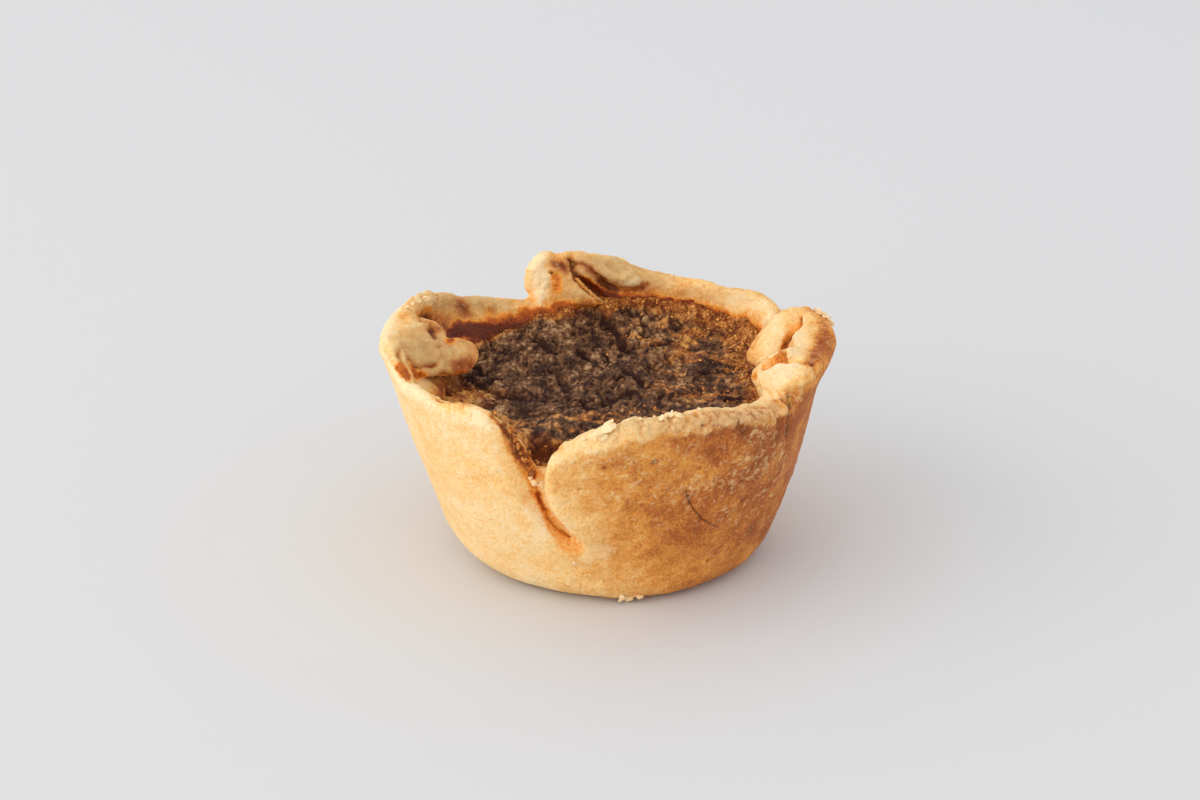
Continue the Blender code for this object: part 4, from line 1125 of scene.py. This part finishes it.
def filling_skin(sizes):
    """Return the filling's closed skin and its fields: tops, gold and ring.

    The top is a square grid mapped onto the filling's outline. Its edge is carried down in rings, each
    drawn in to the cup's inner wall, to a flat bottom that a fan of triangles closes.
    """
    count = sizes["filling_grid"]
    disc_x, disc_y = disc_grid(count)
    share = np.hypot(disc_x, disc_y).ravel()
    angle = np.degrees(np.arctan2(disc_y, disc_x)).ravel()
    edge_height = FILLING_EDGE - NOTCH_DROP * bell(turn(angle, NOTCH_AZIMUTH), NOTCH_WIDTH)
    reach = inner_radius(angle, edge_height) + FILLING_REACH
    plan = (share * reach)[:, None] * np.stack((np.cos(np.radians(angle)), np.sin(np.radians(angle))), axis=1)
    move, tops, gold = filling_relief(plan, sizes)
    flat = np.concatenate((plan, np.zeros((len(plan), 1))), axis=1)
    inset = (1.0 - share) * reach
    wide = round_table(CARAMEL_RING, angle, blur=6.0)
    ring = smoothstep(1.0, -0.2, (inset - FILLING_REACH) / wide + 0.35 * rough(flat, 3.0, 3, 161))
    height = filling_height(plan[:, 0], plan[:, 1]) + move * (1.0 - 0.55 * ring)
    grain_near, _, _ = cells(flat, 1.3, 165)
    height += ring * RING_GRAIN * (0.55 - grain_near)
    slide = 0.22 * np.stack((soft_noise(flat, 1.0, 171), soft_noise(flat, 1.0, 172)), axis=1)
    slide *= smoothstep(0.0, 1.5, inset)[:, None]
    top = np.concatenate((plan + slide, height[:, None]), axis=1)
    index = np.arange(count * count).reshape(count, count)
    quads = np.stack((index[:-1, :-1], index[1:, :-1], index[1:, 1:], index[:-1, 1:]), axis=-1).reshape(-1, 4)
    loop = np.concatenate((index[:-1, 0], index[-1, :-1], index[:0:-1, -1], index[0, :0:-1]))
    around = len(loop)
    levels = [loop]
    extra = []
    for level in (24.0, 22.0, FILLING_BOTTOM):
        ring_points = top[loop].copy()
        inner = inner_radius(angle[loop], level) + FILLING_SIDE_GAP
        ring_points[:, :2] *= np.minimum(1.0, inner / np.hypot(*ring_points[:, :2].T))[:, None]
        ring_points[:, 2] = np.minimum(level, ring_points[:, 2] - 0.3)
        levels.append(len(top) + len(extra) * around + np.arange(around))
        extra.append(ring_points)
    sides = [np.stack((low, np.roll(low, -1), np.roll(high, -1), high), axis=1)[:, ::-1]
             for low, high in zip(levels[:-1], levels[1:])]
    middle = len(top) + len(extra) * around
    fan = np.stack((levels[-1], np.roll(levels[-1], -1), np.full(around, middle)), axis=1)[:, ::-1]
    points = np.concatenate([top, *extra, [(0.0, 0.0, FILLING_BOTTOM)]])
    spare = len(points) - len(top)
    fields = {"tops": tops, "gold": gold, "ring": ring}
    fields = {name: np.concatenate((values, np.zeros(spare))) for name, values in fields.items()}
    return (points, [quads, *sides, fan]), fields


def make_filling(sizes):
    """Make the filling's mesh and store its fields."""
    skin, fields = filling_skin(sizes)
    points, faces = outward(skin)
    mesh = new_mesh("baked_filling", points, faces)
    for name, values in fields.items():
        store(mesh, name, values)
    return mesh


def grain_shape(around=6, levels=4):
    """Return a small round grain: a sphere of a few faces."""
    rings = []
    for level in range(1, levels):
        lift = np.pi * level / levels
        sweep = 2.0 * np.pi * (np.arange(around) + 0.5 * level) / around
        rings.append(np.stack((np.sin(lift) * np.cos(sweep), np.sin(lift) * np.sin(sweep),
                               np.full(around, -np.cos(lift))), axis=1))
    return ring_skin(rings, (0.0, 0.0, -1.0), (0.0, 0.0, 1.0))


def scattered(shape, centres, sizes, normals, lift, squash, seed):
    """Copy a shape to each centre, turned and stretched at random, as one set of points and faces.

    Each copy is scaled by its size, flattened along its surface's normal by squash, dented by random
    lengths of its points and raised along the normal by lift times its size.
    """
    chance = np.random.default_rng(seed)
    base, groups = shape
    count = len(centres)
    spin = chance.uniform(0.0, 2.0 * np.pi, count)
    helper = np.where(np.abs(normals[:, 2:3]) < 0.8, (0.0, 0.0, 1.0), (1.0, 0.0, 0.0))
    first = np.cross(helper, normals)
    first /= np.linalg.norm(first, axis=1, keepdims=True)
    second = np.cross(normals, first)
    a = np.cos(spin)[:, None] * first + np.sin(spin)[:, None] * second
    b = np.cross(normals, a)
    stretch = chance.uniform(0.6, 1.4, (count, 3)) * np.array((1.0, 1.0, squash))
    dent = chance.uniform(0.72, 1.25, (count, len(base), 1))
    local = base[None] * dent * (stretch * sizes[:, None])[:, None, :]
    turned = (local[..., 0:1] * a[:, None] + local[..., 1:2] * b[:, None] + local[..., 2:3] * normals[:, None])
    points = turned + (centres + normals * (lift * sizes)[:, None])[:, None]
    starts = (np.arange(count) * len(base))[:, None, None]
    faces = [(group[None] + starts).reshape(-1, group.shape[1]) for group in groups]
    return points.reshape(-1, 3), faces


def chosen(weights, count, chance):
    """Draw that many different points, each as likely as its weight."""
    weights = np.clip(weights, 0.0, None)
    return chance.choice(len(weights), size=count, replace=False, p=weights / weights.sum())


# Ragged flakes that stand up from the rim, in the front view: across, down and size in millimetres
FLAKES = (
    (598, 433, 0.9), (603, 431, 0.8), (608, 429, 1.0), (613, 426, 0.6), (628, 421, 0.5), (641, 419, 0.5),
    (663, 418, 0.7), (668, 415, 0.8), (674, 414, 0.7), (679, 418, 0.6), (690, 414, 0.4), (433, 297, 0.5),
    (412, 304, 0.6), (418, 301, 0.7), (425, 299, 0.6), (408, 308, 0.5), (604, 438, 0.7), (596, 439, 0.5),
    (822, 308, 0.7), (829, 309, 0.7), (833, 314, 0.7), (835, 321, 0.6),
    (826, 305, 0.5), (818, 305, 0.4), (535, 482, 0.6), (540, 484, 0.5), (531, 478, 0.4), (574, 563, 0.4),
    (620, 597, 0.7), (630, 598, 0.8), (640, 596, 0.6), (404, 380, 0.35), (470, 415, 0.3), (497, 427, 0.3),
    (585, 440, 0.3), (655, 417, 0.3), (700, 410, 0.3), (730, 411, 0.3), (762, 372, 0.3), (790, 357, 0.3),
)

# Brown crumbs of syrup-soaked pastry beside the filling, placed the same way
BROWN_CRUMBS = (
    (443, 377, 0.5), (444, 382, 0.6), (445, 388, 0.6), (445, 394, 0.5), (448, 400, 0.6),
    (438, 400, 0.4), (494, 414, 0.5), (500, 419, 0.6), (505, 425, 0.5),
    (509, 431, 0.7), (514, 438, 0.5), (518, 445, 0.6), (521, 452, 0.5), (525, 459, 0.6), (528, 466, 0.5),
    (532, 474, 0.5), (507, 421, 0.4), (515, 431, 0.5), (523, 442, 0.5), (529, 453, 0.5), (535, 465, 0.4),
    (748, 378, 0.4), (752, 384, 0.4), (746, 391, 0.3),
)


def rim_flakes(mesh):
    """Return the rim's ragged flakes and brown crumbs: points, faces and tones.

    Each flake sits on the crust's point that shows nearest its place in the front view.
    """
    chance = np.random.default_rng(45)
    points = read_points(mesh)
    normals = read_normals(mesh)
    forward, _ = view_axes()
    shown = np.flatnonzero(normals @ forward < -0.05)
    view = front_view(points[shown])
    nearness = 0.02 * ((points[shown] @ forward) + 40.0)
    picks = []
    rows = FLAKES + BROWN_CRUMBS
    for across, down, _ in rows:
        gap = np.hypot(view[:, 0] - across, view[:, 1] - down)
        picks.append(shown[np.argmin(gap + nearness * (gap < 6.0))])
    picks = np.array(picks)
    size = np.array([row[2] for row in rows])
    count = 5
    centres = np.repeat(points[picks], count, axis=0)
    centres += chance.normal(0.0, 0.22, centres.shape) * np.repeat(size, count)[:, None]
    lean = normals[picks].repeat(count, axis=0) + chance.normal(0.0, 0.45, centres.shape)
    lean /= np.linalg.norm(lean, axis=1, keepdims=True)
    scale = np.repeat(size, count) * chance.uniform(0.45, 0.95, len(centres))
    centres[:, 2] = np.maximum(centres[:, 2], 1.1 * scale)
    made, faces = scattered(grain_shape(7, 4), centres, scale, lean, 0.40, 0.40, 46)
    made[:, 2] = np.maximum(made[:, 2], 0.0)
    brown = np.arange(len(centres)) >= count * len(FLAKES)
    tones = np.where(brown, chance.uniform(0.62, 0.95, len(centres)), chance.uniform(0.0, 0.12, len(centres)))
    tones = np.repeat(tones, len(made) // len(centres))
    return made, faces, tones


def caramel_grains(mesh, count):
    """Return the grains of caramel at the filling's edge: points, faces and tones."""
    chance = np.random.default_rng(6)
    points = read_points(mesh)
    normals = read_normals(mesh)
    x, y, z = points.T
    azimuth = np.degrees(np.arctan2(y, x))
    clumps = smoothstep(0.0, 0.5, rough(points, 4.0, 2, 207))
    ring = np.empty(len(points))
    gold = np.empty(len(points))
    mesh.attributes["ring"].data.foreach_get("value", ring)
    mesh.attributes["gold"].data.foreach_get("value", gold)
    weights = (ring * (0.2 + clumps) + 0.2 * gold) * smoothstep(0.1, 0.6, normals[:, 2]) * (z > 24.0)
    weights = weights * smoothstep(-0.6, 0.3, np.cos(np.radians(turn(azimuth, 20.0))) + 0.35)
    picks = chosen(weights, count, chance)
    scale = 0.09 + 0.20 * chance.uniform(0.0, 1.0, count) ** 2
    made, faces = scattered(grain_shape(), points[picks], scale, normals[picks], 0.2, 0.7, 47)
    tones = np.repeat(chance.uniform(0.45, 1.0, count), len(made) // count)
    return made, faces, tones


def linear(code):
    """Turn an sRGB hex colour into linear red, green, blue and an alpha of one."""
    parts = [int(code[k:k + 2], 16) / 255.0 for k in (0, 2, 4)]
    return tuple(c / 12.92 if c <= 0.04045 else ((c + 0.055) / 1.055) ** 2.4 for c in parts) + (1.0,)


def add(tree, kind, inputs=None, **settings):
    """Add a node with its settings and its input values or links."""
    made = tree.nodes.new(kind)
    for name, value in settings.items():
        setattr(made, name, value)
    for socket, value in (inputs or {}).items():
        if isinstance(value, bpy.types.NodeSocket):
            tree.links.new(value, made.inputs[socket])
        else:
            made.inputs[socket].default_value = value
    return made


def maths(tree, operation, *values):
    """Add a math node on one or two values or links, and return its output."""
    return add(tree, "ShaderNodeMath", dict(enumerate(values)), operation=operation).outputs[0]


def ranged(tree, value, low, high, least=0.0, most=1.0):
    """Add a node that maps low to high onto least to most, and return its output."""
    return add(tree, "ShaderNodeMapRange", {"Value": value, "From Min": low, "From Max": high, "To Min": least,
                                            "To Max": most}).outputs["Result"]


def blended(tree, share, first, second, blend="MIX"):
    """Add a mix of two colours, and return its output."""
    return add(tree, "ShaderNodeMix", {"Factor": share, 6: first, 7: second}, data_type="RGBA",
               blend_type=blend).outputs[2]


def colour_ramp(tree, value, colours, **places):
    """Add a ramp that has each named colour at its place, and return its output."""
    made = add(tree, "ShaderNodeValToRGB", {"Fac": value})
    elements = made.color_ramp.elements
    while len(elements) < len(places):
        elements.new(1.0)
    for element, (name, place) in zip(elements, places.items()):
        element.position = place
        element.color = colours[name]
    return made.outputs["Color"]


def attributes(tree, *names):
    """Add a node for each of the mesh's attributes named, and return their outputs by name."""
    return {name: add(tree, "ShaderNodeAttribute", attribute_name=name).outputs["Fac"] for name in names}


def noises(tree, where, rows):
    """Add a noise for each row, and return their outputs by name.

    A row holds the name, the size of the lumps in millimetres, the detail, roughness and distortion.
    """
    return {name: add(tree, "ShaderNodeTexNoise", {
        "Vector": where, "Scale": 1.0 / (size * MM), "Detail": detail, "Roughness": roughness,
        "Distortion": distortion}).outputs["Fac"] for name, size, detail, roughness, distortion in rows}


def new_material(name):
    """Start a material with an empty tree, and return both."""
    old = bpy.data.materials.get(name)
    if old:
        bpy.data.materials.remove(old)
    material = bpy.data.materials.new(name)
    material.use_nodes = True
    material.node_tree.nodes.clear()
    return material, material.node_tree


def finish_material(tree, inputs):
    """Add the shader with its inputs, and the output that it feeds."""
    shader = add(tree, "ShaderNodeBsdfPrincipled", inputs)
    add(tree, "ShaderNodeOutputMaterial", {"Surface": shader.outputs["BSDF"]})


def baked_pastry(colours):
    """Shortcrust pastry, baked dry: matt, mottled from cream to golden brown, glossy where syrup soaked in,
    with painted light and shade in its colour.
    """
    material, tree = new_material("baked shortcrust pastry")
    where = add(tree, "ShaderNodeTexCoord").outputs["Object"]
    field = attributes(tree, "browning", "flour", "syrup", "crack", "crack_strength", "dun")
    noise = noises(tree, where, (
        ("mottle", 2.4, 5.0, 0.62, 0.0), ("grain", 0.45, 3.0, 0.7, 0.0), ("flakes", 1.1, 6.0, 0.66, 0.3),
        ("crumb", 1.1, 3.0, 0.6, 0.0)))
    mottle = ranged(tree, noise["mottle"], 0.3, 0.7, -0.09, 0.09)
    grain = ranged(tree, noise["grain"], 0.3, 0.7, -0.13, 0.13)
    # Thin cracks: dark where the signed distance is near its middle, partly a painted shade inside the crack
    aside = maths(tree, "ABSOLUTE", maths(tree, "SUBTRACT", field["crack"], 0.5))
    thin = maths(tree, "MULTIPLY", ranged(tree, aside, 0.02, 0.06, 1.0, 0.0), field["crack_strength"])
    tone = field["browning"]
    for term in (mottle, grain, maths(tree, "MULTIPLY", thin, 0.26)):
        tone = maths(tree, "ADD", tone, term)
    crust = colour_ramp(tree, tone, colours, cream=0.0, pale=0.28, golden=0.52, brown=0.74, dark=1.0)
    # Painted shade: the crust colour is mixed toward a dull tan
    shaded = blended(tree, field["dun"], crust, colours["dun"])
    # Pale flakes: ragged where a fine noise plus the flour's density passes a threshold
    pale = ranged(tree, maths(tree, "ADD", noise["flakes"], field["flour"]), 0.63, 0.76, 0.0, 0.55)
    floured = blended(tree, pale, shaded, colours["flour"])
    # Soaked colour: real syrup, and painted shade where the syrup field was laid in crevices and hollows
    deeper = maths(tree, "ADD", field["syrup"], grain)
    soaked = colour_ramp(tree, deeper, colours, syrup_light=0.30, syrup=0.50, syrup_deep=0.78, syrup_dark=1.0)
    base = blended(tree, ranged(tree, deeper, 0.03, 0.34), floured, soaked, "DARKEN")
    height = maths(tree, "MULTIPLY", thin, -0.6)
    for term in (noise["crumb"], maths(tree, "MULTIPLY", pale, 0.3)):
        height = maths(tree, "ADD", height, term)
    bump = add(tree, "ShaderNodeBump", {"Height": height, "Strength": 0.6, "Distance": 0.55 * MM})
    finish_material(tree, {
        "Base Color": base, "Roughness": ranged(tree, field["syrup"], 0.2, 0.8, 0.64, 0.50),
        "Normal": bump.outputs["Normal"], "IOR": 1.45, "Specular IOR Level": 0.25, "Subsurface Weight": 0.12,
        "Subsurface Radius": (2.2 * MM, 0.9 * MM, 0.35 * MM), "Subsurface Scale": 1.0})
    return material


def baked_syrup(colours):
    """Butter and sugar syrup, baked to a dry crust: dark, grainy, nearly matt, golden where it is thin, with
    painted shade in its cracks and a partly painted sheen on its tops.
    """
    material, tree = new_material("baked butter syrup")
    where = add(tree, "ShaderNodeTexCoord").outputs["Object"]
    where = add(tree, "ShaderNodeMapping", {"Vector": where, "Scale": (1.0, 0.6, 1.0)}).outputs["Vector"]
    field = attributes(tree, "tops", "gold", "ring")
    noise = noises(tree, where, (
        ("sugar", 0.5, 4.0, 0.72, 0.0), ("cloud", 3.0, 4.0, 0.6, 0.0), ("blots", 1.7, 6.0, 0.66, 0.5)))
    # Sugar grain, clouds and burnt blots
    grain = ranged(tree, noise["sugar"], 0.3, 0.7, -0.34, 0.34)
    cloud = ranged(tree, noise["cloud"], 0.3, 0.7, -0.20, 0.20)
    burnt = ranged(tree, noise["blots"], 0.38, 0.47, -0.60, 0.0)
    tone = field["tops"]
    for term in (grain, cloud, burnt):
        tone = maths(tree, "ADD", tone, term)
    # The tone darkens the cracks as painted shade and lightens grain tops toward the top colour, partly a
    # painted sheen
    dark = colour_ramp(tree, tone, colours, crack=0.0, clod=0.32, clod_mid=0.68, clod_top=1.0)
    caramel = colour_ramp(tree, tone, colours, caramel_dark=0.0, caramel=0.5, caramel_light=1.0)
    rich = maths(tree, "ADD", maths(tree, "MAXIMUM", field["gold"], field["ring"]), cloud)
    bump = add(tree, "ShaderNodeBump", {"Height": noise["sugar"], "Strength": 0.9, "Distance": 0.5 * MM})
    finish_material(tree, {
        "Base Color": blended(tree, ranged(tree, rich, 0.18, 0.62), dark, caramel),
        "Roughness": ranged(tree, noise["sugar"], 0.35, 0.65, 0.78, 0.46), "Normal": bump.outputs["Normal"],
        "IOR": 1.48, "Specular IOR Level": 0.18})
    return material


def plain_matt(name, colour, roughness):
    """Plain matt board: one even pale colour, so that nothing draws the eye from the tart."""
    material, tree = new_material(name)
    finish_material(tree, {"Base Color": colour, "Roughness": roughness})
    return material


def crumb_material(colours):
    """Loose pastry crumbs: dry and matt, each a slightly different tone of cream to brown."""
    material, tree = new_material("loose pastry crumb")
    tone = attributes(tree, "tone")["tone"]
    colour = colour_ramp(tree, tone, colours, cream=0.0, pale=0.3, golden=0.55, caramel=0.8, caramel_dark=1.0)
    finish_material(tree, {"Base Color": colour, "Roughness": 0.6, "IOR": 1.45, "Specular IOR Level": 0.3})
    return material


def length_prop(name, description, size):
    """Return a length property whose default is that many millimetres."""
    return FloatProperty(name=name, description=description, default=size * MM, unit="LENGTH")


class TartSizes(bpy.types.PropertyGroup):
    """Sizes of the tart's surface relief."""

    wave: length_prop("Wave", "Depth of the crust's broad waves", 0.25)
    lump: length_prop("Lump", "Depth of the crust's lumps", 0.28)
    grain: length_prop("Grain", "Depth of the crust's grain", 0.09)
    clod: length_prop("Clod", "Width of the filling's clods", 5.2)
    crumb: length_prop("Crumb", "Height of the filling's grains", 0.30)
    filling_grid: IntProperty(name="Filling grid", description="Grid lines across the filling", default=284)
    ring_crumbs: IntProperty(name="Ring crumbs", description="Grains at the filling's edge", default=1500)


def colour_prop(name, description, code):
    """Return a colour property with an sRGB hex colour as its default."""
    return FloatVectorProperty(name=name, description=description, subtype="COLOR", size=4, min=0.0, max=1.0,
                               default=linear(code))


class TartColours(bpy.types.PropertyGroup):
    """Colours of the pastry and the filling."""

    cream: colour_prop("Cream", "Palest pastry", "FAE0B2")
    pale: colour_prop("Pale", "Lightly baked pastry", "F8C880")
    golden: colour_prop("Golden", "Golden pastry", "E39844")
    brown: colour_prop("Brown", "Well baked pastry", "B4622A")
    dark: colour_prop("Dark", "Darkest pastry", "6C3816")
    flour: colour_prop("Flour", "Floury flakes", "FAD49A")
    # Painted shade: a dull tan that stands in for shade on the rim
    dun: colour_prop("Dun", "Air-dried rim", "B4966A")
    syrup_light: colour_prop("Syrup light", "Thinly soaked pastry", "EE9838")
    syrup: colour_prop("Syrup", "Soaked pastry", "C0601A")
    syrup_deep: colour_prop("Syrup deep", "Deeply soaked pastry", "7C300C")
    syrup_dark: colour_prop("Syrup dark", "Darkest syrup", "461806")
    crack: colour_prop("Crack", "Cracks in the filling", "35170B")
    clod: colour_prop("Clod", "Filling crust", "5C3B22")
    clod_mid: colour_prop("Clod middle", "Filling crust, worn", "875B3A")
    # Lightest filling colour, on the grain tops: partly a painted sheen
    clod_top: colour_prop("Clod top", "Dusty tops of the filling", "C09870")
    caramel_dark: colour_prop("Caramel dark", "Dark caramel", "6A3010")
    caramel: colour_prop("Caramel", "Caramel", "A8622A")
    caramel_light: colour_prop("Caramel light", "Light caramel", "DC9E50")


COLOUR_NAMES = tuple(TartColours.__annotations__)


def current_sizes():
    """Return the sizes in millimetres and the counts, by name."""
    group = bpy.context.scene.tart_sizes
    lengths = {name: getattr(group, name) / MM for name in ("wave", "lump", "grain", "clod", "crumb")}
    counts = {name: getattr(group, name) for name in ("filling_grid", "ring_crumbs")}
    return {**lengths, **counts}


def current_colours():
    """Return the colours by name."""
    group = bpy.context.scene.tart_colours
    return {name: tuple(getattr(group, name)) for name in COLOUR_NAMES}


class TART_OT_stage(bpy.types.Operator):
    """Set a pale floor, soft light from the left and the camera"""

    bl_idname = "tart.stage"
    bl_label = "Stage"
    bl_options = {"REGISTER", "UNDO"}

    def execute(self, context):
        scene = context.scene
        scene.view_settings.view_transform = "Standard"
        scene.view_settings.look = "None"
        corners = np.full((4, 3), FLOOR_LEVEL)
        corners[:, :2] = FLOOR_HALF * np.array(((-1.0, -1.0), (1.0, -1.0), (1.0, 1.0), (-1.0, 1.0)))
        floor_mesh = new_mesh("floor", corners, [np.array(((0, 1, 2, 3),))])
        floor = new_object("floor", floor_mesh, plain_matt("matt white board", linear("D6D7D9"), 0.8))
        world = bpy.data.worlds.new("studio")
        world.use_nodes = True
        scene.world = world
        sky = world.node_tree.nodes["Background"]
        sky.inputs["Color"].default_value = linear("FCFCFC")
        sky.inputs["Strength"].default_value = SKY_STRENGTH
        lamp_data = bpy.data.lights.new("window", "AREA")
        lamp_data.shape = "RECTANGLE"
        lamp_data.size = LAMP_WIDTH
        lamp_data.size_y = LAMP_HEIGHT
        lamp_data.energy = LAMP_POWER
        lamp_data.color = (1.0, 0.97, 0.93)
        lamp = bpy.data.objects.new("window", lamp_data)
        scene.collection.objects.link(lamp)
        around = np.radians(LAMP_AZIMUTH)
        up = np.radians(LAMP_ELEVATION)
        direction = Vector((np.cos(around) * np.cos(up), np.sin(around) * np.cos(up), np.sin(up)))
        lamp.location = Vector((0.0, 0.0, LAMP_AIM)) + LAMP_DISTANCE * direction
        lamp.rotation_euler = direction.to_track_quat("Z", "Y").to_euler()
        camera_data = bpy.data.cameras.new("camera")
        camera_data.sensor_width = SENSOR_WIDTH
        camera_data.lens = SENSOR_WIDTH * VIEW_FOCUS / PICTURE_WIDTH
        camera_data.clip_start = 0.01
        camera = bpy.data.objects.new("camera", camera_data)
        scene.collection.objects.link(camera)
        forward, upward = view_axes()
        camera.location = Vector((FRAME_SHIFT - VIEW_DISTANCE * forward) * MM)
        across = np.array((1.0, 0.0, 0.0)) * (0.5 * PICTURE_WIDTH - VIEW_CENTRE[0]) / VIEW_FOCUS
        aim = forward + upward * (VIEW_CENTRE[1] - 0.5 * PICTURE_HEIGHT) / VIEW_FOCUS + across
        camera.rotation_euler = Vector(aim).to_track_quat("-Z", "Y").to_euler()
        scene.camera = camera
        return {"FINISHED"}


class TART_OT_crust(bpy.types.Operator):
    """Make the pastry cup with its folded rim"""

    bl_idname = "tart.crust"
    bl_label = "Crust"
    bl_options = {"REGISTER", "UNDO"}

    def execute(self, context):
        mesh = make_crust(current_sizes())
        piece = new_object("pastry_crust", mesh, baked_pastry(current_colours()))
        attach(piece, "root")
        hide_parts("crust")
        return {"FINISHED"}


class TART_OT_filling(bpy.types.Operator):
    """Make the baked syrup filling"""

    bl_idname = "tart.filling"
    bl_label = "Filling"
    bl_options = {"REGISTER", "UNDO"}

    def execute(self, context):
        mesh = make_filling(current_sizes())
        piece = new_object("baked_filling", mesh, baked_syrup(current_colours()))
        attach(piece, "root")
        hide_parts("filling")
        return {"FINISHED"}


class TART_OT_crumbs(bpy.types.Operator):
    """Scatter crumbs along the rim and caramel grains at the filling's edge"""

    bl_idname = "tart.crumbs"
    bl_label = "Crumbs"
    bl_options = {"REGISTER", "UNDO"}

    def execute(self, context):
        sizes = current_sizes()
        colours = current_colours()
        crust = bpy.data.objects.get("pastry_crust")
        filling = bpy.data.objects.get("baked_filling")
        if crust is None or filling is None:
            raise RuntimeError("make the crust and the filling first")
        material = crumb_material(colours)
        grains = caramel_grains(filling.data, sizes["ring_crumbs"])
        for name, layer, slot in (("rim_flakes", rim_flakes(crust.data), "crust"),
                                  ("caramel_grains", grains, "filling")):
            points, faces, tones = layer
            mesh = new_mesh(name, points, faces)
            mesh.shade_flat()
            store(mesh, "tone", tones)
            piece = new_object(name, mesh, material)
            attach(piece, "root")
        return {"FINISHED"}


class TART_PT_panel(bpy.types.Panel):
    """Lists the tart's operators and settings"""

    bl_label = "Butter tart"
    bl_idname = "TART_PT_panel"
    bl_space_type = "VIEW_3D"
    bl_region_type = "UI"
    bl_category = "Tart"

    def draw(self, context):
        for operator in OPERATORS:
            self.layout.operator(operator.bl_idname)
        for group in (context.scene.tart_sizes, context.scene.tart_colours):
            box = self.layout.box()
            for name in type(group).__annotations__:
                box.prop(group, name)


OPERATORS = (TART_OT_stage, TART_OT_crust, TART_OT_filling, TART_OT_crumbs)
CLASSES = (TartSizes, TartColours, *OPERATORS, TART_PT_panel)


def register():
    """Register the classes and the scene's settings."""
    for cls in CLASSES:
        bpy.utils.register_class(cls)
    bpy.types.Scene.tart_sizes = PointerProperty(type=TartSizes)
    bpy.types.Scene.tart_colours = PointerProperty(type=TartColours)


def unregister():
    """Remove the settings and the classes."""
    del bpy.types.Scene.tart_sizes
    del bpy.types.Scene.tart_colours
    for cls in reversed(CLASSES):
        bpy.utils.unregister_class(cls)


def main():
    """Make the stage and every piece."""
    register()
    bpy.ops.tart.stage()
    bpy.ops.tart.crust()
    bpy.ops.tart.filling()
    bpy.ops.tart.crumbs()


if __name__ == "__main__":
    main()
